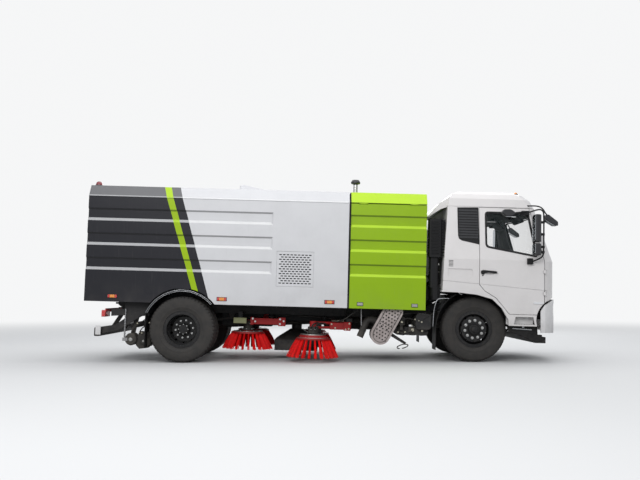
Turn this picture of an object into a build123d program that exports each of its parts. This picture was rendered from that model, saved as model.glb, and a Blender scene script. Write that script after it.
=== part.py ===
from build123d import *
import os
from math import cos, degrees, hypot, radians, sin

os.makedirs("parts", exist_ok=True)

# Street sweeper truck, in millimetres. Everything sprung is drawn in the frame of the chassis rails: X
# forward and Y left from the middle of the front axle, Z up from the axle line. The empty truck stands
# nose-down on its springs, so the sprung parts are turned about the front axle as they are placed.
WHEELBASE = 4700
TYRE_R = 527
TYRE_W = 278
BEAD_R = 256
RIM_W = 226
FRONT_TRACK = 1880
REAR_TRACK = 1860
TWIN_SPACING = 320
RAKE = 1.6
ORIGIN_X = 2411

RIDE_H = 133
RAIL_HALF_W = 430
RAIL_FLANGE = 80
RAIL_H = 260
RAIL_WEB = 10
FRAME_FRONT = 1250
FRAME_OVERHANG = 1232
SUBFRAME_H = 120

BODY_HALF_W = 1250
BODY_H = 1645
SKIRT_H = 233
ROOF_CHAMFER_H = 176
ROOF_CHAMFER_W = 100
WALL = 60
REAR_OVERHANG = 1572
HOPPER_FRONT = -2065
BOX_REAR = -2037
BOX_FRONT = -811
GROOVE_COUNT = 3
GROOVE_PITCH = 396
GROOVE_H = 205
GROOVE_DEPTH = 24
GROOVE_BEVEL = 26
GROOVE_END = -3284

CAB_HALF_W = 1245
CAB_T = 45
CAB_FLOOR_T = 45

PIN_GAP = 0.3
SHUT_GAP = 7

# Heights and stations that follow from those sizes.
REAR_X = -WHEELBASE * cos(radians(RAKE))
REAR_Z = -WHEELBASE * sin(radians(RAKE))
RAIL_BOTTOM = RIDE_H
RAIL_TOP = RAIL_BOTTOM + RAIL_H
RAIL_IN = RAIL_HALF_W - RAIL_FLANGE
SUBFRAME_TOP = RAIL_TOP + SUBFRAME_H
BODY_FLOOR = SUBFRAME_TOP + 5
BODY_BOTTOM = BODY_FLOOR - SKIRT_H
BODY_TOP = BODY_FLOOR + BODY_H
BODY_CREASE = BODY_TOP - ROOF_CHAMFER_H
BODY_TOP_HALF_W = BODY_HALF_W - ROOF_CHAMFER_W
HOPPER_REAR = REAR_X - REAR_OVERHANG
FRAME_REAR = REAR_X - FRAME_OVERHANG
TIP_X, TIP_Z = FRAME_REAR + 80, SUBFRAME_TOP - 40
TILT_X, TILT_Z = FRAME_FRONT + 70, RAIL_BOTTOM + 40
TILT_SWEEP_R = 363
TILT_SWEEP_GAP = 7
CAB_FLOOR = TYRE_R + 81
GROUND = -TYRE_R


def block(x0, x1, y0, y1, z0, z1):
    """Box between two corners."""
    return Pos((x0 + x1) / 2, (y0 + y1) / 2, (z0 + z1) / 2) * Box(x1 - x0, y1 - y0, z1 - z0)


def across(side, inner, outer):
    """Two distances from the centre line as rising Y values on one side."""
    return sorted((side * inner, side * outer))


def side_prism(points, y0, y1):
    """Outline of X and Z values, pushed across the truck."""
    face = make_face(Polyline(*[(x, y0, z) for x, z in points], close=True))
    return extrude(face, amount=y1 - y0, dir=(0, 1, 0))


def cross_prism(points, x0, x1):
    """Outline of Y and Z values, pushed along the truck."""
    face = make_face(Polyline(*[(x0, y, z) for y, z in points], close=True))
    return extrude(face, amount=x1 - x0, dir=(1, 0, 0))


def taper(p, q, r0, r1):
    """Round bar between two points, with a radius at each end."""
    p, q = Vector(*p), Vector(*q)
    bar = Cone(r0, r1, (q - p).length, align=(Align.CENTER, Align.CENTER, Align.MIN))
    return Plane(origin=p, z_dir=q - p) * bar


def rod(p, q, r):
    """Round bar between two points."""
    p, q = Vector(*p), Vector(*q)
    bar = Cylinder(r, (q - p).length, align=(Align.CENTER, Align.CENTER, Align.MIN))
    return Plane(origin=p, z_dir=q - p) * bar


def cross_rod(x, z, y0, y1, r):
    """Round bar across the truck."""
    return rod((x, y0, z), (x, y1, z), r)


def tube(points, r, bend):
    """Bent bar or pipe through the points."""
    path = FilletPolyline(*points, radius=bend)
    start = Plane(origin=path @ 0, z_dir=path % 0)
    return sweep(start * Circle(r), path=path)


def spun(points, centre_x, centre_z):
    """Ring of a closed outline of Y and radius values, turned about a cross axis."""
    face = make_face(Polyline(*[(0, y, r) for y, r in points], close=True))
    return Pos(centre_x, 0, centre_z) * revolve(face, axis=Axis.Y)


def turned(points, x, y, arc=360):
    """Closed outline of radius and Z values, turned about an upright axis."""
    face = make_face(Polyline(*[(r, 0, z) for r, z in points], close=True))
    return Pos(x, y, 0) * revolve(face, axis=Axis.Z, revolution_arc=arc)


def sector(cx, cz, r0, r1, a0, a1, y0, y1):
    """Curved band between two radii and two angles, pushed across the truck."""
    def at(r, a):
        return (cx + r * cos(radians(a)), y0, cz + r * sin(radians(a)))
    mid = (a0 + a1) / 2
    face = make_face(Wire([ThreePointArc(at(r1, a0), at(r1, mid), at(r1, a1)),
                           Line(at(r1, a1), at(r0, a1)),
                           ThreePointArc(at(r0, a1), at(r0, mid), at(r0, a0)),
                           Line(at(r0, a0), at(r1, a0))]))
    return extrude(face, amount=y1 - y0, dir=(0, 1, 0))


def mirrored(shape):
    """The other side of the truck."""
    return mirror(shape, about=Plane.XZ)


def both(shape):
    """A piece and its twin on the other side."""
    return [shape, mirrored(shape)]


def place(shape):
    """From the chassis frame to the frame of the part."""
    return Pos(ORIGIN_X, 0, TYRE_R) * Rot(0, RAKE, 0) * shape


def level(shape):
    """From the frame of the front axle, which stays level, to the frame of the part."""
    return Pos(ORIGIN_X, 0, TYRE_R) * shape


def node(name, *shapes, placed=place):
    """Write one named piece, made of one or more solids."""
    solids = []
    for shape in shapes:
        solids += placed(shape).solids()
    piece = solids[0] if len(solids) == 1 else Compound(children=solids)
    piece.label = name
    export_step(piece, f"parts/{name}.step")


# Ladder frame: two channel rails that open inward, cross members between their webs, and a towing eye.
web_in = RAIL_HALF_W - RAIL_WEB
rail = cross_prism([(-RAIL_HALF_W, RAIL_BOTTOM), (-RAIL_IN, RAIL_BOTTOM), (-RAIL_IN, RAIL_BOTTOM + RAIL_WEB),
                    (-web_in, RAIL_BOTTOM + RAIL_WEB), (-web_in, RAIL_TOP - RAIL_WEB),
                    (-RAIL_IN, RAIL_TOP - RAIL_WEB), (-RAIL_IN, RAIL_TOP), (-RAIL_HALF_W, RAIL_TOP)],
                   FRAME_REAR, FRAME_FRONT)
rail -= side_prism([(FRAME_REAR - 1, RAIL_BOTTOM - 1), (FRAME_REAR + 140, RAIL_BOTTOM - 1),
                    (FRAME_REAR - 1, RAIL_BOTTOM + 90)], -RAIL_HALF_W - 1, -RAIL_IN + 1)
frame_solids = both(rail)
RAM_X, RAM_Z = REAR_X - 952, RAIL_BOTTOM - 20
MEMBER_HALF, MEMBER_T = 45, 10
MEMBER_Z0, MEMBER_Z1 = RAIL_BOTTOM + 40, RAIL_TOP - 30
REAR_MEMBER_X = FRAME_REAR + MEMBER_HALF
RAM_MEMBER_X = RAM_X - 110
for x in (1150, -1300, -2250, -3330, REAR_X - 452, RAM_MEMBER_X, REAR_MEMBER_X):
    x0, x1 = x - MEMBER_HALF, x + MEMBER_HALF
    frame_solids.append(side_prism([(x0, MEMBER_Z0), (x1, MEMBER_Z0), (x1, MEMBER_Z1), (x0, MEMBER_Z1),
                                    (x0, MEMBER_Z1 - MEMBER_T), (x1 - MEMBER_T, MEMBER_Z1 - MEMBER_T),
                                    (x1 - MEMBER_T, MEMBER_Z0 + MEMBER_T), (x0, MEMBER_Z0 + MEMBER_T)],
                                   -web_in, web_in))
TOW_R, TOW_T, TOW_Z = 25, 30, RAIL_TOP - 163
TOW_X = FRAME_REAR - 100
tow = block(TOW_X, REAR_MEMBER_X + MEMBER_HALF - MEMBER_T, -60, 60, TOW_Z, TOW_Z + TOW_T)
tow += rod((TOW_X, 0, TOW_Z), (TOW_X, 0, TOW_Z + TOW_T), 60)
for y in (-48, 36):
    tow += side_prism([(FRAME_REAR - 70, TOW_Z + TOW_T - 2), (REAR_MEMBER_X + 35, TOW_Z + TOW_T - 2),
                       (REAR_MEMBER_X + 35, TOW_Z + 110), (FRAME_REAR, TOW_Z + 110)], y, y + 12)
tow -= rod((TOW_X, 0, TOW_Z - 1), (TOW_X, 0, TOW_Z + TOW_T + 1), TOW_R)
frame_solids[-1] += tow
# Pivot forks of the tilting cab at the rail ends.
TILT_PIN_R = 20
FORK_Y0, FORK_Y1 = RAIL_HALF_W - 27, RAIL_HALF_W - 12
fork = block(FRAME_FRONT, TILT_X, -FORK_Y1, -FORK_Y0, TILT_Z - 40, TILT_Z + 130)
fork += cross_rod(TILT_X, TILT_Z, -FORK_Y1, -FORK_Y0, 40)
fork += block(FRAME_FRONT - 60, FRAME_FRONT + 10, -web_in, -FORK_Y0, TILT_Z - 20, TILT_Z + 130)
fork += cross_rod(TILT_X, TILT_Z, -FORK_Y1, -RAIL_IN, TILT_PIN_R)
frame_solids += both(fork)
node("frame", *frame_solids)

# Subframe of the sweeping body: two box rails on the chassis rails, cross tubes, the ears of the tipping
# hinge at the rear and the outriggers that carry the side brooms.
HINGE_PIN_R = 22
sub = block(TIP_X + 70, BOX_FRONT - 29, -RAIL_HALF_W, -RAIL_IN, RAIL_TOP, SUBFRAME_TOP)
sub += block(BOX_REAR + 7, BOX_FRONT - 29, -RAIL_HALF_W, -RAIL_IN, SUBFRAME_TOP, BODY_FLOOR)
ear = side_prism([(TIP_X + 90, RAIL_TOP), (TIP_X + 90, SUBFRAME_TOP - 4), (TIP_X, TIP_Z + 36),
                  (TIP_X - 36, TIP_Z), (TIP_X - 20, RAIL_TOP)], -RAIL_HALF_W + 4, -RAIL_HALF_W + 44)
ear += cross_rod(TIP_X, TIP_Z, -RAIL_HALF_W + 4, -RAIL_HALF_W + 44, 38)
ear += cross_rod(TIP_X, TIP_Z, -RAIL_HALF_W + 4, -RAIL_HALF_W + 100, HINGE_PIN_R)
subframe_solids = both(sub) + both(ear)
for x in (BOX_FRONT - 89, BOX_REAR + 537, HOPPER_FRONT - 85, -3200, TIP_X + 150):
    subframe_solids.append(block(x - 40, x + 40, -RAIL_IN, RAIL_IN, RAIL_TOP + 30, SUBFRAME_TOP - 10))
ARM_X, ARM_Y, ARM_Z = -2010, 760, GROUND + 520
ARM_PIN_R = 18
outrigger = cross_prism([(-ARM_Y - 45, ARM_Z + 62), (-RAIL_HALF_W, ARM_Z + 62), (-RAIL_HALF_W, RAIL_TOP - 60),
                         (-RAIL_HALF_W - 14, RAIL_TOP - 60), (-RAIL_HALF_W - 90, ARM_Z + 150),
                         (-ARM_Y - 45, ARM_Z + 112)], ARM_X - 50, ARM_X + 50)
outrigger += rod((ARM_X, -ARM_Y, ARM_Z - 60), (ARM_X, -ARM_Y, ARM_Z + 70), ARM_PIN_R)
subframe_solids += both(outrigger)
node("subframe", *subframe_solids)

# Front axle: forged beam of I section that drops between the kingpins, level with the ground.
KINGPIN_Y = 760
KINGPIN_R = 22
BEAM_TOP, BEAM_BOTTOM = -27, -127
beam = cross_prism([(-730, 61), (-690, 61), (-600, BEAM_TOP), (600, BEAM_TOP), (690, 61), (730, 61),
                    (730, -47), (700, -77), (620, BEAM_BOTTOM), (-620, BEAM_BOTTOM), (-700, -77),
                    (-730, -47)], -45, 45)
for y0, y1 in ((-590, -450), (-320, 320), (450, 590)):
    for x0, x1 in ((-46, -14), (14, 46)):
        beam -= block(x0, x1, y0, y1, BEAM_BOTTOM + 18, BEAM_TOP - 18)
for side in (-1, 1):
    beam += rod((0, side * KINGPIN_Y, -65), (0, side * KINGPIN_Y, 65), 46)
    beam += rod((0, side * KINGPIN_Y, -112), (0, side * KINGPIN_Y, 113), KINGPIN_R)

LEAVES = 6
LEAF_T = 12
LEAF_BEND_R = 4600


def spring(x, z, half, top):
    """Leaf pack under a rail: arced leaves, longest on top, with its eyes, clamp plate and hangers."""
    y0, y1 = -RAIL_HALF_W, -RAIL_IN
    centre = z + LEAF_BEND_R
    pack = block(x - 60, x + 60, y0 - 8, y1 + 8, z + LEAVES * LEAF_T - 1, z + LEAVES * LEAF_T + 16)
    for i in range(LEAVES):
        reach = degrees(half * (0.4 + 0.6 * i / (LEAVES - 1)) / LEAF_BEND_R)
        outer = LEAF_BEND_R - i * LEAF_T
        pack += sector(x, centre, outer - LEAF_T, outer, 270 - reach, 270 + reach, y0, y1)
    eye_r = LEAF_BEND_R - (LEAVES - 0.5) * LEAF_T
    reach = half / LEAF_BEND_R
    for end in (-1, 1):
        ex, ez = x + end * eye_r * sin(reach), centre - eye_r * cos(reach)
        pack += cross_rod(ex, ez, y0, y1, 26)
        pack += side_prism([(ex - 20, ez - 24), (ex + 20, ez - 24), (ex + 48, top), (ex - 48, top)],
                           y0 - 6, y0 + 12)
        pack += side_prism([(ex - 20, ez - 24), (ex + 20, ez - 24), (ex + 48, top), (ex - 48, top)],
                           y1 - 12, y1 + 6)
    return pack


front_spring = spring(0, BEAM_TOP - 1, 700, RAIL_BOTTOM)
axle_solids = [level(beam)]
for piece in both(front_spring):
    axle_solids.append(place(piece))
node("front_axle", *axle_solids, placed=lambda shape: shape)

# Rear axle: banjo housing swelling to the differential, brake drum backs, pinion nose and spring packs.
half_twin = TWIN_SPACING / 2
rt = REAR_TRACK / 2
SPINDLE_R = 42
housing_end = rt - half_twin - RIM_W / 2 - 17
housing = spun([(-housing_end, 0), (-housing_end, 78), (-420, 74), (-270, 105), (-175, 192), (-60, 210),
                (60, 210), (175, 192), (270, 105), (420, 74), (housing_end, 78), (housing_end, 0)],
               REAR_X, REAR_Z)
housing += cross_rod(REAR_X, REAR_Z, -rt - 70, rt + 70, SPINDLE_R)
for side in (-1, 1):
    housing += cross_rod(REAR_X, REAR_Z, *across(side, housing_end - 1, rt - 202), 190)
housing += taper((REAR_X + 150, 0, REAR_Z + 22), (REAR_X + 330, 0, REAR_Z + 35), 150, 80)
rear_spring = spring(REAR_X, REAR_Z + 70, 720, RAIL_BOTTOM)
node("rear_axle", housing, *both(rear_spring))

# Engine with its sump, bell housing and gearbox, and the propeller shaft to the rear axle.
ENGINE_TOP = CAB_FLOOR - 55
engine = cross_prism([(-180, 30), (180, 30), (280, 190), (280, ENGINE_TOP - 53), (190, ENGINE_TOP),
                      (-190, ENGINE_TOP), (-280, ENGINE_TOP - 53), (-280, 190)], -350, 760)
engine += side_prism([(-300, 40), (-300, 22), (90, 12), (250, -55), (690, -55), (720, 40)], -170, 170)
engine += block(100, 220, -web_in, web_in, RAIL_BOTTOM + 30, RAIL_BOTTOM + 100)
engine += taper((-345, 0, 170), (-540, 0, 160), 235, 165)
engine += fillet(block(-1080, -520, -150, 150, 10, 290).edges().filter_by(Axis.X), 60)
engine += rod((-1150, 0, 113), (-1070, 0, 113), 78)
shaft_foot = (REAR_X + 332, 0, REAR_Z + 35.2)
engine += rod((-1150, 0, 113), shaft_foot, 45)
engine += rod((REAR_X + 400, 0, REAR_Z + 39.5), shaft_foot, 76)
node("driveline", engine)

# Fuel tank on the left and air tank box on the right, strapped to brackets from the rails.
TANK_Y0, TANK_Y1 = 640, 1130
TANK_Z0, TANK_Z1 = RAIL_BOTTOM - 260, RAIL_BOTTOM + 120
fuel = fillet(block(-1950, -850, TANK_Y0, TANK_Y1, TANK_Z0, TANK_Z1).edges().filter_by(Axis.X), 60)
for x in (-1750, -1050):
    strap = block(x - 30, x + 30, TANK_Y0 - 6, TANK_Y1 + 6, TANK_Z0 - 6, TANK_Z1 + 6)
    fuel += fillet(strap.edges().filter_by(Axis.X), 64)
    fuel += side_prism([(x - 30, RAIL_BOTTOM + 20), (x + 30, RAIL_BOTTOM + 20), (x + 30, RAIL_BOTTOM + 110),
                        (x - 30, RAIL_BOTTOM + 110)], RAIL_HALF_W, TANK_Y0 + 20)
air = fillet(block(-947, -700, -1120, -640, TANK_Z0 + 103, TANK_Z1 - 30).edges().filter_by(Axis.Y), 50)
air += block(-880, -800, -650, -RAIL_HALF_W, RAIL_BOTTOM + 10, RAIL_BOTTOM + 80)
node("tanks", fuel, air)

# Silencer of the sweeping engine: flattened drum leaning back, with its perforated guard and tail pipe.
SIL_X, SIL_Z, SIL_R, SIL_L, SIL_LEAN = -1518, -125, 150, 420, 28
SIL_Y0, SIL_Y1 = 650, 1100
lean_s, lean_c = sin(radians(SIL_LEAN)), cos(radians(SIL_LEAN))


def drum_point(along_axis, aside):
    """X and Z of a point along the drum's lean and aside from it."""
    return (SIL_X + along_axis * lean_s + aside * lean_c, SIL_Z + along_axis * lean_c - aside * lean_s)


def drum(r, y0, y1):
    """Flattened drum across the truck: two straight sides and two round ends."""
    ax, az = drum_point(0, -r)
    bx, bz = drum_point(SIL_L, -r)
    cx, cz = drum_point(SIL_L + r, 0)
    dx, dz = drum_point(SIL_L, r)
    ex, ez = drum_point(0, r)
    fx, fz = drum_point(-r, 0)
    outline = Wire([Line((ax, y0, az), (bx, y0, bz)), ThreePointArc((bx, y0, bz), (cx, y0, cz), (dx, y0, dz)),
                    Line((dx, y0, dz), (ex, y0, ez)),
                    ThreePointArc((ex, y0, ez), (fx, y0, fz), (ax, y0, az))])
    return extrude(make_face(outline), amount=y1 - y0, dir=(0, 1, 0))


silencer = drum(SIL_R - 8, -SIL_Y1, -SIL_Y0)
for y in (-SIL_Y1 + 80, -SIL_Y0 - 110):
    silencer += drum(SIL_R, y - 20, y + 20)
silencer += block(-1400, -1320, -SIL_Y0 - 50, -RAIL_HALF_W, RAIL_BOTTOM + 40, RAIL_BOTTOM + 120)
silencer += tube([(SIL_X + 40, -900, SIL_Z + 190), (SIL_X - 190, -900, SIL_Z + 250),
                  (SIL_X - 316, -900, SIL_Z - 56)], 55, 90)
silencer -= rod((SIL_X - 300, -900, SIL_Z - 16), (SIL_X - 320, -900, SIL_Z - 66), 47)
guard = drum(SIL_R + 8, -SIL_Y1 - 70, -SIL_Y1 - PIN_GAP)
guard -= drum(SIL_R, -SIL_Y1 - 62, -SIL_Y1 - 6)
guard -= drum(SIL_R - 50, -SIL_Y1 - 7, -SIL_Y1 + 1)
HOLE_PITCH = 52
holes = []
for i in range(11):
    for j in range(-2, 3):
        hx, hz = drum_point(HOLE_PITCH * (i - 1), HOLE_PITCH * (j + 0.25 - 0.5 * (i % 2)))
        holes.append(cross_rod(hx, hz, -SIL_Y1 - 71, -SIL_Y1 - 61, 13))
guard -= holes
node("silencer", silencer)
node("silencer_guard", guard)

# Mudguards: arched bands over the twin wheels with rubber flaps, and the guards behind the front wheels.
GUARD_R = TYRE_R + 105
FRONT_GUARD_R = TYRE_R + 113
twin_out = rt + half_twin + TYRE_W / 2
twin_in = rt - half_twin - TYRE_W / 2
rear_guard = sector(REAR_X, REAR_Z, GUARD_R - 8, GUARD_R, 44, 158, -twin_out - 11, -twin_in - 9)
rear_guard += sector(REAR_X, REAR_Z, GUARD_R - 8, GUARD_R + 14, 44, 158, -twin_out - 11, -twin_out - 3)
flap_x = REAR_X - (GUARD_R - 4) * cos(radians(22))
rear_guard += block(flap_x - 5, flap_x + 5, -twin_out - 6, -twin_in - 14, GROUND + 90,
                    REAR_Z + (GUARD_R - 4) * sin(radians(22)) + 8)
rear_guard += cross_rod(REAR_X, REAR_Z + GUARD_R - 20, -twin_out + 29, -RAIL_HALF_W, 14)
ft = FRONT_TRACK / 2
front_guard = sector(0, 0, FRONT_GUARD_R - 8, FRONT_GUARD_R, 120, 176, -ft - 250, -ft + 100)
flap_top = FRONT_GUARD_R * sin(radians(4))
front_guard += block(-FRONT_GUARD_R, -FRONT_GUARD_R + 8, -ft - 250, -ft + 100, GROUND + 185, flap_top)
stay_r = FRONT_GUARD_R + 6
stay_a = radians(156)
front_guard += cross_rod(stay_r * cos(stay_a), stay_r * sin(stay_a), -ft - 210, -RAIL_HALF_W, 12)
node("mudguards", *both(rear_guard), *both(front_guard))

# Front bumper: a shell with wrapped ends and a low middle, so that the cab can tilt over it. The headlamps
# are set into its raised ends.
NOSE_HALF_W = CAB_HALF_W


def plan_outline(z, half_w, rear, corner, shoulder_x, shoulder_y, front):
    """Outline of the cab or bumper seen from above: straight sides, round corners, crowned front."""
    mid_x = (corner + shoulder_x) / 2 + 0.11 * (half_w - shoulder_y)
    mid_y = (half_w + shoulder_y) / 2 + 0.154 * (shoulder_x - corner)
    edges = [Line((rear, -half_w, z), (corner, -half_w, z)),
             ThreePointArc((corner, -half_w, z), (mid_x, -mid_y, z), (shoulder_x, -shoulder_y, z)),
             ThreePointArc((shoulder_x, -shoulder_y, z), (front, 0, z), (shoulder_x, shoulder_y, z)),
             ThreePointArc((shoulder_x, shoulder_y, z), (mid_x, mid_y, z), (corner, half_w, z)),
             Line((corner, half_w, z), (rear, half_w, z)),
             Line((rear, half_w, z), (rear, -half_w, z))]
    return make_face(Wire(edges))


def nose(inset, z0, z1):
    """Volume behind the bumper skin."""
    face = plan_outline(z0, NOSE_HALF_W - inset, 900, 1100, 1320 - inset, NOSE_HALF_W - 315 - inset / 2,
                        1430 - inset)
    return extrude(face, amount=z1 - z0, dir=(0, 0, 1))


BUMPER_Z0, BUMPER_Z1, BUMPER_MID_Z = -21, 514, 193
BUMPER_T = 25
bumper = nose(0, BUMPER_Z0, BUMPER_Z1) - nose(BUMPER_T, BUMPER_Z0 - 6, BUMPER_Z1 + 6)
bumper += nose(0, BUMPER_Z0 + 39, BUMPER_Z0 + 79) - nose(70, BUMPER_Z0 + 39, BUMPER_Z0 + 79)
bumper &= side_prism([(1032, BUMPER_Z0), (1028, 323), (1090, 419), (1275, BUMPER_Z1), (1500, BUMPER_Z1),
                      (1500, BUMPER_Z0)], -NOSE_HALF_W - 50, NOSE_HALF_W + 50)
bumper -= block(1150, 1500, -610, 610, BUMPER_MID_Z, BUMPER_Z1 + 1)
# The wrapped ends stay inside the arc in which the lower corners of the cab swing round the tilt pins.
for side in (-1, 1):
    y0, y1 = across(side, NOSE_HALF_W - 60, NOSE_HALF_W + 10)
    bumper -= block(1000, 1160, y0, y1, TILT_Z, BUMPER_Z1 + 1) - cross_rod(
        TILT_X, TILT_Z, y0 - 1, y1 + 1, TILT_SWEEP_R - TILT_SWEEP_GAP)
for z in (70, 118):
    bumper -= block(1300, 1500, -430, 430, z, z + 26)
LAMP_Y0, LAMP_Y1, LAMP_Z0, LAMP_Z1 = 740, 1090, 263, 433
skin_12 = nose(0, 0, 150) - nose(12, 0, 150)
lamps = []
for side in (-1, 1):
    window = block(1150, 1500, *across(side, LAMP_Y0, LAMP_Y1), LAMP_Z0, LAMP_Z1)
    bumper -= window
    bumper -= skin_12 & block(1150, 1500, *across(side, 800, 1010), 62, 138)
    bumper += block(1185, 1395, *across(side, RAIL_HALF_W + 10, RAIL_HALF_W + 40), RAIL_BOTTOM - 50,
                    RAIL_BOTTOM + 40)
    lamps.append((nose(2, LAMP_Z0 - 90, LAMP_Z1 + 40) - nose(60, LAMP_Z0 - 100, LAMP_Z1 + 50)) & window)
node("front_bumper", bumper)
node("headlamps", *lamps)

# Underrun guards: a low beam ahead of the front wheels and one behind the rear wheels.
front_beam = fillet(block(1000, 1180, -1000, 1000, -197, -97).edges().filter_by(Axis.Y), 12)
for side in (-1, 1):
    front_beam += side_prism([(1030, -110), (1120, -110), (1150, 60), (1185, 73), (1185, RAIL_BOTTOM + 100),
                              (1040, RAIL_BOTTOM + 100)], *across(side, RAIL_HALF_W, RAIL_HALF_W + 30))
    front_beam += block(1160, 1185, *across(side, RAIL_HALF_W, RAIL_HALF_W + 40), RAIL_BOTTOM - 60,
                        RAIL_BOTTOM + 100)
guard_x = FRAME_REAR - 180
rear_beam = fillet(block(guard_x, guard_x + 90, -1150, 1150, -274, -137).edges().filter_by(Axis.Y), 12)
for side in (-1, 1):
    rear_beam += side_prism([(guard_x + 50, -227), (guard_x + 80, -137),
                             (FRAME_REAR + 130, RAIL_BOTTOM + 100),
                             (FRAME_REAR + 210, RAIL_BOTTOM + 100), (guard_x + 110, -227)],
                            *across(side, RAIL_HALF_W, RAIL_HALF_W + 12))
node("underrun_guards", front_beam, rear_beam)

# Rear lamps on a cross bar behind the frame.
lamp_z = RAIL_BOTTOM + 40
lamp_bar = block(FRAME_REAR - 12, FRAME_REAR, -1180, 1180, lamp_z - 60, lamp_z)
for side in (-1, 1):
    lamp_bar += fillet(block(FRAME_REAR - 68, FRAME_REAR - 12, *across(side, 880, 1180), lamp_z - 135,
                             lamp_z - 28).edges().filter_by(Axis.X), 14)
    for y in (980, 1080):
        lamp_bar += block(FRAME_REAR - 74, FRAME_REAR - 60, *across(side, y - 3, y + 3),
                          lamp_z - 132, lamp_z - 31)
node("tail_lamps", lamp_bar)


def body_section(inset):
    """Cross outline of the sweeping body above its floor."""
    half, top_half = BODY_HALF_W - inset, BODY_TOP_HALF_W - inset * 0.6
    crease, top = BODY_CREASE - inset * 0.3, BODY_TOP - inset
    return [(-half, crease), (-top_half, top), (top_half, top), (half, crease)]


def body_shell(x0, x1, end_wall_rear, end_wall_front):
    """Length of the sweeping body: skirts, floor, walls and chamfered roof around its space."""
    outer = cross_prism([(-BODY_HALF_W, BODY_BOTTOM)] + body_section(0) + [(BODY_HALF_W, BODY_BOTTOM)],
                        x0, x1)
    space = cross_prism([(-BODY_HALF_W + WALL, BODY_FLOOR + 20)] + body_section(WALL)
                        + [(BODY_HALF_W - WALL, BODY_FLOOR + 20)], x0 + end_wall_rear, x1 - end_wall_front)
    under = block(x0 - 1, x1 + 1, -BODY_HALF_W + WALL, BODY_HALF_W - WALL, BODY_BOTTOM - 1, BODY_FLOOR)
    return outer - space - under


def groove(z, x0, x1, end_bevel):
    """Tool that presses one long groove into a side wall."""
    h, d, b = GROOVE_H / 2, GROOVE_DEPTH, GROOVE_BEVEL
    y = -BODY_HALF_W
    if end_bevel:
        mouth_face = make_face(Polyline((x0, y - 1, z - h), (x1, y - 1, z - h), (x1, y - 1, z + h),
                                        (x0, y - 1, z + h), close=True))
        floor_face = make_face(Polyline((x0, y + d, z - h + b), (x1 - b, y + d, z - h + b),
                                        (x1 - b, y + d, z + h - b), (x0, y + d, z + h - b), close=True))
        return loft([mouth_face, floor_face], ruled=True)
    return cross_prism([(y - 1, z - h), (y - 1, z + h), (y + d, z + h - b), (y + d, z - h + b)], x0, x1)


groove_zs = [BODY_CREASE - 302 - GROOVE_PITCH * i for i in range(GROOVE_COUNT)]

# Hopper: ribbed hollow body with chamfered roof edges, skirts over the wheels and an open rear end.
GATE_HEAD = 40
GATE_TOP, GATE_BOTTOM, GATE_T = BODY_CREASE - GATE_HEAD, BODY_FLOOR + 30, 60
GATE_AXIS_X, GATE_AXIS_Z = HOPPER_REAR + 6, GATE_TOP + 10
hopper = body_shell(HOPPER_REAR, HOPPER_FRONT, 60, 40)
hopper -= block(HOPPER_REAR - 1, HOPPER_REAR + 61, -BODY_HALF_W + WALL, BODY_HALF_W - WALL,
                BODY_FLOOR + 20, GATE_TOP + 26)
ARCH_R = GUARD_R + 30
hopper -= cross_rod(REAR_X, REAR_Z, -BODY_HALF_W - 10, BODY_HALF_W + 10, ARCH_R) & block(
    REAR_X - ARCH_R, REAR_X + ARCH_R, -BODY_HALF_W - 10, BODY_HALF_W + 10, REAR_Z, BODY_FLOOR - 1)
for z in groove_zs:
    tool = groove(z, HOPPER_REAR - 2, GROOVE_END, True)
    hopper -= tool
    hopper -= mirrored(tool)
# Bearers under the floor, and the hood of the roof vent.
for x in (HOPPER_FRONT - 435, -3700, REAR_X - 300):
    for side in (-1, 1):
        hopper += block(x - 30, x + 30, *across(side, RAIL_HALF_W + 60, BODY_HALF_W - WALL + 5),
                        BODY_FLOOR - 40, BODY_FLOOR + 5)
hood = side_prism([(-3930, BODY_TOP - 5), (-3930, BODY_TOP + 150), (-3860, BODY_TOP + 170),
                   (-3500, BODY_TOP + 90), (-3500, BODY_TOP - 5)], -500, 100)
hood = fillet(hood.edges().filter_by(Axis.Z), 40)
hopper += hood
# Recess and cavity behind each perforated grille.
GRILLE_X0, GRILLE_X1, GRILLE_Z0, GRILLE_Z1 = -3212, -2616, BODY_FLOOR + 83, BODY_FLOOR + 647
GRILLE_T, GRILLE_SET = 6, 8
for side in (-1, 1):
    hopper -= block(GRILLE_X0, GRILLE_X1, *across(side, BODY_HALF_W - GRILLE_SET, BODY_HALF_W + 1),
                    GRILLE_Z0, GRILLE_Z1)
    hopper -= block(GRILLE_X0 + 24, GRILLE_X1 - 24, *across(side, BODY_HALF_W - WALL + 14, BODY_HALF_W),
                    GRILLE_Z0 + 24, GRILLE_Z1 - 24)
plate_y = BODY_HALF_W - GRILLE_SET
grille = block(GRILLE_X0 + 3, GRILLE_X1 - 3, -plate_y - GRILLE_T, -plate_y, GRILLE_Z0 + 3, GRILLE_Z1 - 3)
SLOT_L, SLOT_H, SLOT_ROWS, SLOT_COLUMNS = 40, 17, 13, 9
row_pitch = (GRILLE_Z1 - GRILLE_Z0 - 70) / SLOT_ROWS
slot_pitch = (GRILLE_X1 - GRILLE_X0 - 60) / SLOT_COLUMNS
slots = []
for i in range(SLOT_ROWS):
    for j in range(SLOT_COLUMNS - i % 2):
        sx = GRILLE_X0 + 30 + slot_pitch * (j + 0.5 + 0.5 * (i % 2))
        sz = GRILLE_Z0 + 35 + row_pitch * (i + 0.5)
        slots.append(block(sx - SLOT_L / 2, sx + SLOT_L / 2, -plate_y - GRILLE_T - 1, -plate_y + 1,
                           sz - SLOT_H / 2, sz + SLOT_H / 2))
grille -= slots
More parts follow.
